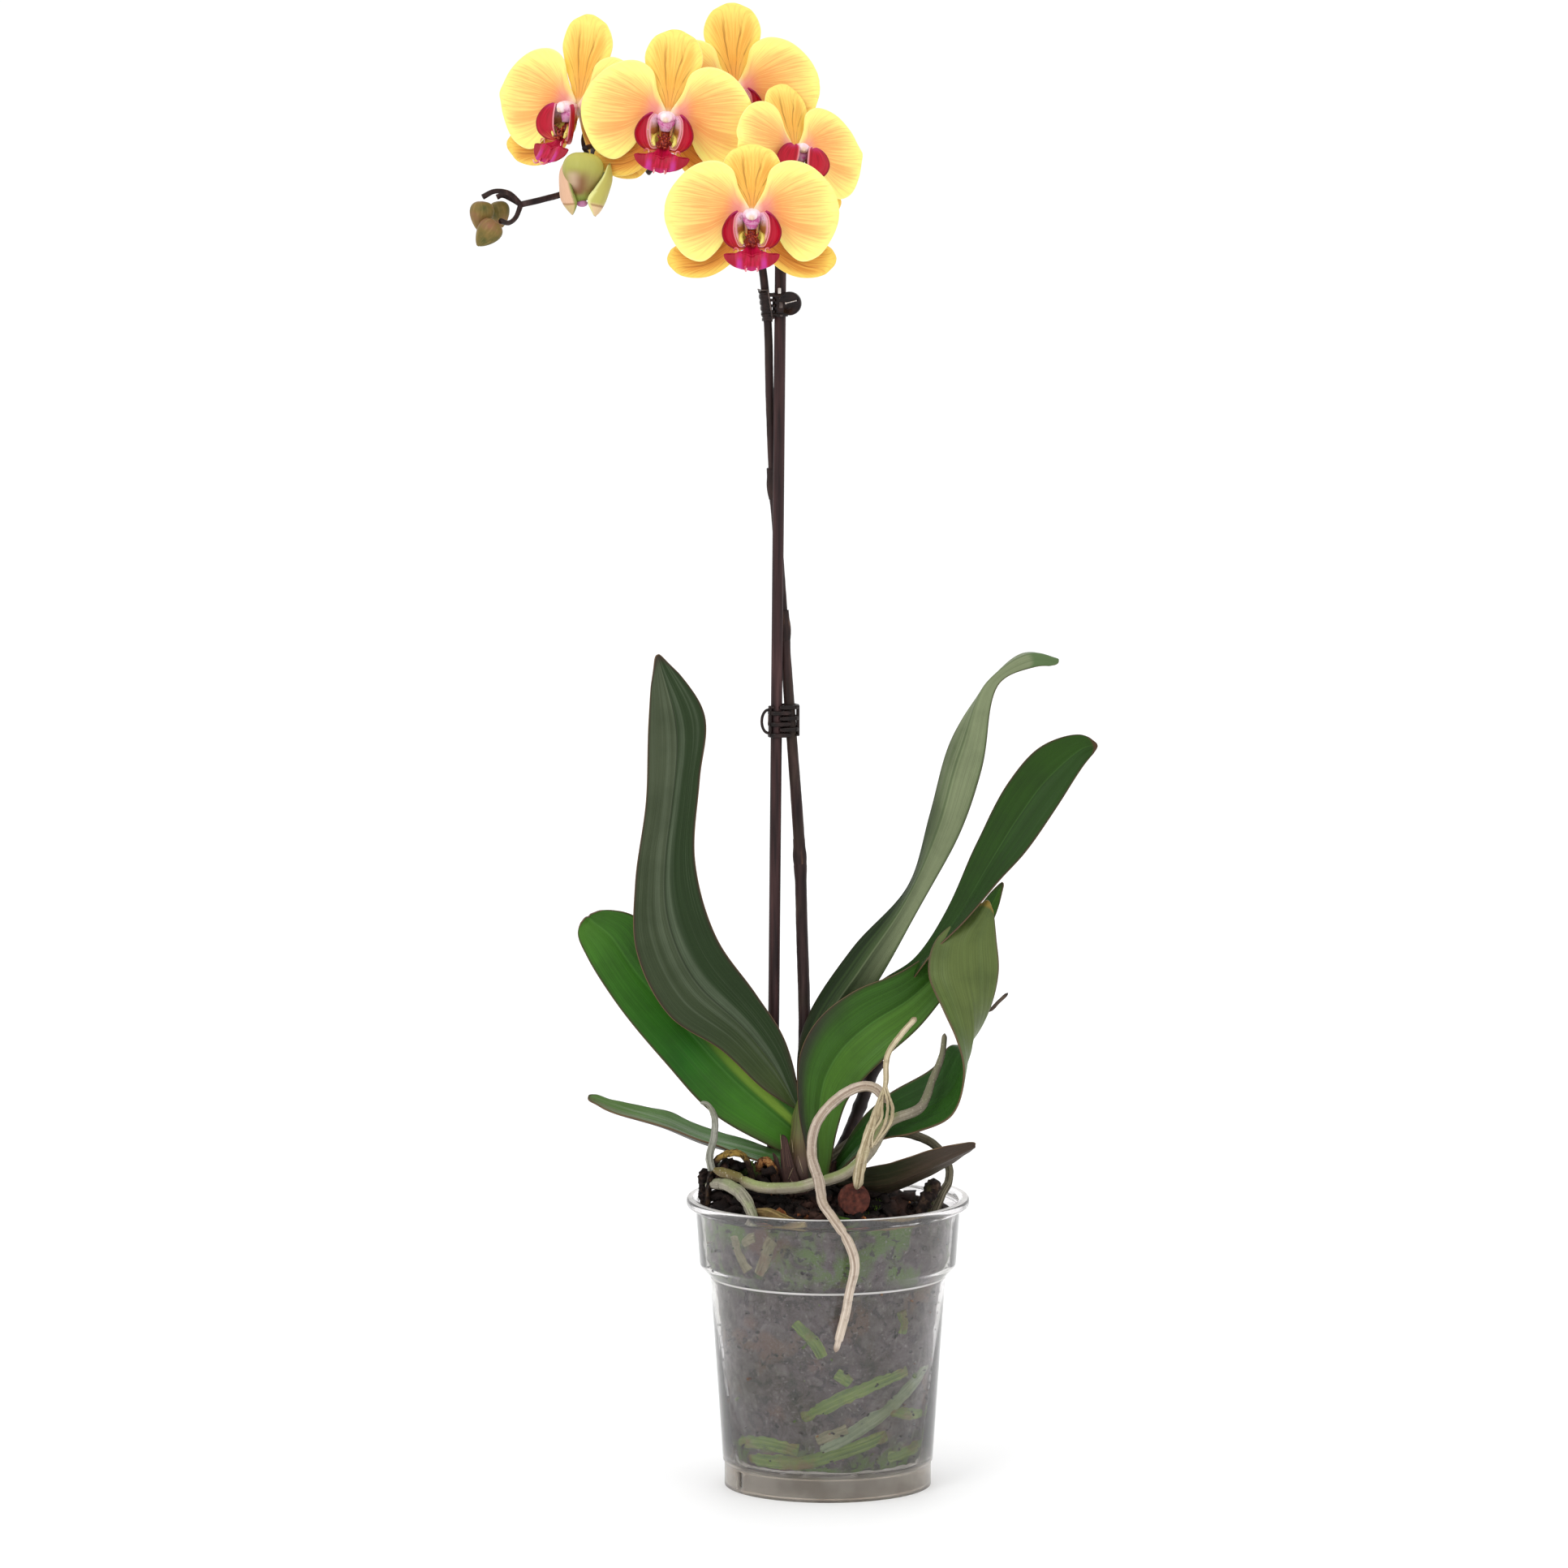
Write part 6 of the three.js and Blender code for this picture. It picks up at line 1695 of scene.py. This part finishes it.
def flapFinish(name, top, low, inner, crease):
    skin = Finish(name, roughness=0.5, gloss=0.25)
    veins = skin.grain((26, 2, 1), detail=3, on="UV")
    down = veins.calc("MULTIPLY_ADD", 0.03, skin.axis("Y"))
    skin.paint(down.ramp((0.1, top), (0.62, top), (0.72, low), (1.0, low)))
    skin.coat(veins.eased(0.5, 0.7, 0, 0.3), "b08a5c")
    fromCrease = abs(down - crease)
    skin.coat(fromCrease.eased(0.0, 0.05, 0.7, 0), "8a5c30")
    skin.coat(skin.axis("X").eased(0.86, 0.97, 0, 0.9), inner)
    skin.relief(veins, depth=0.0002)
    return skin


leftFlap = flapFinish("left bud flap", "d4aa8c", "c2aa78", "6f7f2c", 0.66)
rightFlap = flapFinish("right bud flap", "b9b560", "dcc096", "dcdc92", 0.7)
bareGap = mottled("bud heart", 0.5, 0.25, ("a35f8c", "c58aa8"), scale=500.0)
smallBud = Finish("small bud", roughness=0.5, gloss=0.25)
smallPatch = smallBud.grain(scale=120.0, detail=3)
smallBud.paint(smallPatch.ramp((0.35, "4a4c1e"), (0.52, "74602e"), (0.7, "865c40")))
smallVein = smallBud.grain((22, 2, 1), detail=3, on="UV")
smallBud.coat(smallVein.eased(0.5, 0.7, 0, 0.3), "a08850")
smallBud.relief(smallVein, depth=0.0002)

budFlaps = {
    "left": [
        [(-109.6, -4, 564), (-112, -4, 558.9), (-112.3, -5, 553.6), (-112.1, -6, 549.2),
         (-110.9, -8, 546.4), (-108.8, -10, 543.8), (-107.1, -11, 542.2)],
        [(-109.2, -8, 563.7), (-108.4, -12.4, 559.1), (-107, -14.8, 553.2), (-105.7, -15.4, 549.5),
         (-105, -15.4, 547.1), (-105.7, -14, 544.6), (-106.7, -12, 542.4)],
    ],
    "right": [
        [(-91.8, -4, 562.8), (-90.7, -4, 556.9), (-91.6, -5, 552.2), (-93.3, -6, 546.9),
         (-95.6, -8, 543), (-97.6, -10, 541.4)],
        [(-92.2, -8, 562.4), (-94.4, -12.4, 557.7), (-97.5, -14.8, 553.5), (-100.6, -15.4, 548.8),
         (-99.6, -14, 545.3), (-97.9, -12, 541.7)],
    ],
}


def budPart(bud):
    def radius(t, angle):
        reach = bud["radius"] * max(0.02, math.sin(math.pi * t ** 0.62)) ** 0.62
        flat = 1 / math.hypot(math.cos(angle), math.sin(angle) / 0.85)
        seam = 1 - 0.05 * math.exp(-(math.sin(angle * 1.5) / 0.12) ** 2)
        return reach * (1 + 0.04 * math.cos(angle * 3)) * flat * seam
    top, bottom = Vector(bud["top"]), Vector(bud["bottom"])
    return tubePart([top, (top + bottom) / 2, bottom], radius, 48, 56, out=Vector((1, 0, 0)))


def makeOpenBud():
    # the upper scale, with two more that fold round it and leave a gap at the foot
    flapLift = lambda side, t, width: 0.22 * width * (side * side - 1)
    left = sheetPart(budFlaps["left"], 14, 30, flapLift, 0.7, 1, tip=0.02)
    right = sheetPart(budFlaps["right"][::-1], 14, 30, flapLift, 0.7, 2, tip=0.02, flip=True)
    return [budPart(buds["bud_opening"]), left, right, blobPart((-103, -11, 546.4), (2.4, 2, 1.5), 3)]


for name, bud in buds.items():
    opening = name == "bud_opening"
    parts = makeOpenBud() if opening else [budPart(bud)]
    finishPiece(name + "_skin", parts, [name], "bud",
                [budDome, leftFlap, rightFlap, bareGap] if opening else [smallBud])
print("buds")


# Roots

def rootFinish(name, dark, light, moss, mossShare, pale="e0d8d0", topTone=None, footTone=None,
               tipTone=None):
    skin = Finish(name, roughness=0.75, gloss=0.15)
    fine = skin.grain((16, 1.6, 1), detail=6, on="UV", distortion=0.3)
    skin.paint(fine.ramp((0.32, dark), (0.5, light), (0.72, pale)))
    patch = skin.grain(scale=70.0, detail=4)
    skin.coat(patch.eased(0.5, 0.66, 0, mossShare), moss)
    if topTone:
        # the upper side, in the sun, is greener
        turn = (skin.axis("X") * math.tau).calc("COSINE")
        sunny = turn.eased(-0.2, 0.7) * patch.eased(0.4, 0.54, 0.1, 0.8)
        skin.coat(sunny, topTone)
    if footTone:
        skin.coat(skin.axis("Y").eased(0.08, 0.14, 0.85, 0), footTone)
    if tipTone:
        skin.coat(skin.axis("Y").eased(0.66, 0.76, 0, 0.8), tipTone)
    mottle = skin.grain(scale=420.0, detail=5)
    skin.coat(mottle.eased(0.5, 0.7, 0, 0.35), dark)
    specks = skin.grain(scale=1300.0, detail=2)
    skin.coat(specks.eased(0.6, 0.7, 0, 0.35), pale)
    skin.coat(skin.axis("Y").eased(0.975, 0.995, 0, 0.7), dark)
    relief = fine * 0.6 + mottle
    skin.relief(relief, depth=0.0003)
    return skin


silverRoot = rootFinish("silver root", "7e6c60", "b0a090", "9c8a70", 0.35, "d6cabc")
rimRoot = rootFinish("root on the rim", "5c584c", "8e897a", "6e6c50", 0.5, "b4ae9e", "848c66")
greyRoot = rootFinish("grey root", "55554a", "84847a", "6a6a50", 0.4, "a8a89c")
darkRoot = rootFinish("dark root", "2e2a22", "5e5848", "54543a", 0.4, "8a8270")
tanRoot = rootFinish("tan root", "7a6a50", "b0a283", "8c8a62", 0.4, "d4c8ae")
greenRoot = rootFinish("mossy root", "7a7060", "aca390", "98906c", 0.4, "c8c0ae", "88965c", "5c4c22",
                       "625c50")
goldRoot = rootFinish("gold root", "3e2c16", "75603c", "6b6a34", 0.5, "a08a5c")
dryRoot = rootFinish("dry root", "1c1412", "4a4038", "2a241e", 0.3, "6a5c50")
wallGreen = rootFinish("root behind the wall", "44611a", "6c8a2a", "80623c", 0.85, "98a850")
wallPale = rootFinish("pale root behind the wall", "5e6c4c", "8c9c7a", "77844a", 0.4, "aab898")
wallBrown = rootFinish("brown root behind the wall", "6c6848", "8e8a66", "744630", 0.6, "a8a488")
roots = {
    "root_hanging_front": {
        "finish": silverRoot,
        "radii": [2.3, 2.3, 2.2, 2.4, 2.1, 2.2, 2, 1.9], "cracks": (0.655,), "bare": 0.966, "hairs": 60,
        "route": [(25, -28, 168), (20, -26, 174), (14, -26, 175), (3, -26, 169), (-5, -27, 159),
                  (-7, -29, 147), (-4, -40, 137), (-2, -56, 129.5), (2, -63, 125), (8, -64.6, 116),
                  (11, -63.5, 106), (9, -60.5, 94), (7, -58, 83), (3, -57, 67)],
    },
    "root_shrivelled": {
        "finish": tanRoot,
        "radii": [2.2, 2.5, 2.5, 2.4, 2.3, 2, 1, 1.2, 1.3, 1.3, 1.3, 1.2],
        "route": [(12, -32.4, 132), (14, -33.4, 145), (17, -33, 155), (20.4, -33, 165), (24, -32, 176),
                  (25, -31, 189), (31, -30, 198), (37, -30, 205)],
        # where the skin has split into loose strands, each with its thickness
        "strands": [
            (0.9, [(24, -32, 177), (25.4, -33, 172), (27, -33.5, 167), (26, -34, 160.5),
                   (22, -34.4, 155), (19, -34, 151)]),
            (0.7, [(23.4, -33, 176), (25, -34.6, 168), (23.6, -35, 160), (20.3, -35, 154),
                   (17.6, -34.6, 150)]),
            (0.7, [(23, -33, 175), (20.4, -34.4, 168), (19.6, -35, 161), (17.2, -35, 154),
                   (16.4, -34.6, 149)]),
            (0.6, [(24, -32, 178), (22.6, -34, 170), (22.4, -35.2, 163), (19, -35.2, 157),
                   (18.4, -35, 150)]),
        ],
    },
    "root_long_front": {
        "finish": greenRoot,
        "radii": [2.2, 2.5, 2.6, 2.6, 2.6, 2.3, 1.7, 1.2], "cracks": (0.1, 0.36), "hairs": 80,
        "upright": True,
        "route": [(-49, -16, 138), (-45, -18, 137), (-38, -20, 135), (-33, -22, 132.5), (-26, -23, 131),
                  (-12, -20, 131), (-6, -20, 132.5), (7, -22, 137), (17, -24, 146), (25, -25, 159),
                  (39, -30, 167), (44, -25, 178), (48, -23, 188), (49, -22, 197)],
    },
    "root_left_rim": {
        "finish": rimRoot,
        "radii": [2, 2.7, 2.8, 2.4], "cracks": (0.3,), "hairs": 60, "upright": True,
        "route": [(-51, -8, 129.5), (-45, -18, 132), (-39, -26, 131), (-34, -36, 127), (-31, -39, 119)],
    },
    "root_left_upright": {
        "finish": greyRoot,
        "radii": [0.9, 1.5, 1.7, 1.8],
        "route": [(-54, -14, 166), (-51, -14, 165.5), (-48, -14, 160), (-48, -14, 152), (-50, -15, 143),
                  (-49, -16, 137)],
    },
    "root_right_back": {
        "finish": darkRoot, "cracks": (0.38, 0.72),
        "radii": [2, 2.3, 2, 1.8, 2.2],
        "route": [(-4, 4, 136), (12, 10, 146), (24, 10, 149), (34, 8, 149), (45, 4, 145), (51, -2, 137),
                  (51, -6, 131), (48, -10, 126), (44, -14, 117)],
    },
    "root_front_sunk": {
        "finish": goldRoot,
        "radii": [2, 2.4, 2.2, 1.8],
        "route": [(-31, -32, 122), (-25, -39, 123), (-19, -44, 121.5), (-9, -48, 118)],
    },
    "root_front_right": {
        "finish": goldRoot,
        "radii": [1.6, 1.8, 1.8, 1.5],
        "route": [(16, -48, 115.5), (24, -45, 117.2), (33, -38, 117.2), (41, -30, 115.5)],
    },
    "root_dry": {
        "finish": dryRoot, "slot": "spike",
        "radii": [1.5, 1.4, 1.2, 1, 0.8],
        "route": [(-7, 5, 150), (10, 13, 184), (31, 13, 204), (48, 8, 209), (60, 0, 206), (68, -4, 204),
                  (72, -7, 208), (76, -8, 212)],
    },
}


def rootRadius(radii, folds=0.0, seed=0, cracks=(), bare=1.0):
    # cracks are rings where the skin has split, and past bare only the core is left
    def radius(t, angle):
        ends = math.sqrt(max(0.02, min(1, t * 30, (1 - t) * 90)))
        fold = 1 + folds * math.cos(angle * 3 + 9 * noise.noise(Vector((t * 6, seed, 0))))
        for crack in cracks:
            fold -= 0.3 * math.exp(-((t - crack) / 0.006) ** 2)
        if t > bare:
            fold *= 0.6 + 0.12 * math.cos(angle * 2)
        return along(radii, t) * ends * fold
    return radius


def rootHairs(route, radii, count):
    # the fuzz on the skin of a root in moist air
    line = evenRoute(route, 200)
    hairs = []
    for index in range(count):
        step = dice.randint(4, 180)
        direction = Vector([dice.uniform(-1, 1) for axis in "XYZ"]).normalized()
        foot = line[step] + direction * along(radii, step / 200) * 0.8
        hairs.append(hairPart(foot, direction, 0.6 + dice.random() * 0.7, 0.05))
    return hairs


for index, (name, root) in enumerate(roots.items()):
    length = len(root["route"]) * 14
    folds = 0.1 if name == "root_shrivelled" else 0.03
    radius = rootRadius(root["radii"], folds, index, root.get("cracks", ()), root.get("bare", 1.0))
    out = Vector((0, 0, 1)) if "upright" in root else None
    parts = [tubePart(root["route"], radius, 24, length, out=out, jitter=0.07, seed=index * 5)]
    parts += rootHairs(root["route"], root["radii"], root.get("hairs", 0))
    for thick, strand in root.get("strands", ()):
        strandRadius = rootRadius([thick * 0.8, thick, thick * 0.8], 0.15, thick)
        parts.append(tubePart(strand, strandRadius, 10, 50, jitter=0.1, seed=index))
    finishPiece(name + "_skin", parts, [name], root.get("slot", "root"), [root["finish"]])

# Roots against the inside of the wall: degrees round the pot from the front, to the right, and height.
wallRoots = {
    "wall_root_1": {
        "finish": wallGreen,
        "strands": [(2.6, [(-18, 77.6), (-13, 73.6), (-7, 68.8), (-3, 62.6)]),
                    (2.6, [(4, 55.9), (8, 54), (12, 51.5)]),
                    (2.4, [(41, 81), (43, 75.4), (42, 70.8)])],
    },
    "wall_root_2": {
        "finish": wallGreen,
        "strands": [(3.4, [(-16, 35.8), (4, 43.5), (25, 50.2), (48, 54.8)]),
                    (2.7, [(35, 38.8), (50, 35.2), (78, 31.9)])],
    },
    "wall_root_3": {
        "finish": wallPale,
        "strands": [(3.5, [(-6, 22), (7, 26.6), (20, 32.5), (35, 38.8), (56, 49.2), (87, 57.8)])],
    },
    "wall_root_4": {
        "finish": wallGreen,
        "strands": [(3.4, [(-84, 17.3), (-50, 23.2), (-32, 23.6), (-16, 21.6)]),
                    (3.4, [(-81, 15.6), (-40, 15.8), (-14, 17), (4, 20.6), (21, 24.3), (36, 28.2)]),
                    (2.9, [(36, 17), (58, 19), (87, 21)])],
    },
    "wall_root_5": {
        "finish": wallBrown,
        "strands": [(2.9, [(-48, 113.4), (-45, 105.4), (-40, 98.4)]),
                    (2.2, [(-42, 110), (-38, 112.6), (-35, 113.4)])],
    },
    "wall_root_6": {
        "finish": wallBrown,
        "strands": [(2.9, [(-26, 113.6), (-28, 111), (-31, 103), (-34, 97.8)]),
                    (2.7, [(-7, 26.4), (2, 29), (11, 31.4)])],
    },
}
wallPress = {"flat": 0.85, "wide": 1.15}


def wallRadius(thick, seed, upright):
    # a root pressed flat against the wall
    inner = rootRadius([thick] * 3, 0.03, seed)

    def radius(t, angle):
        towards, beside = math.cos(angle), math.sin(angle)
        if not upright:
            towards, beside = beside, towards
        return inner(t, angle) / math.hypot(towards / wallPress["flat"], beside / wallPress["wide"])
    return radius


for index, (name, root) in enumerate(wallRoots.items()):
    parts = []
    for thick, strand in root["strands"]:
        points = []
        for degrees, z in strand:
            reach = innerWall(z) - thick * wallPress["flat"] - 0.25
            angle = math.radians(degrees)
            points.append(Vector((math.sin(angle) * reach, -math.cos(angle) * reach, z)))
        way = points[-1] - points[0]
        upright = abs(way.z) > way.xy.length
        out = (points[0] * Vector((1, 1, 0))).normalized() if upright else Vector((0, 0, 1))
        radius = wallRadius(thick, index, upright)
        parts.append(tubePart(points, radius, 20, 70, out=out, jitter=0.1, seed=index * 3))
    finishPiece(name + "_skin", parts, [name], "root_green", [root["finish"]])
print("roots")
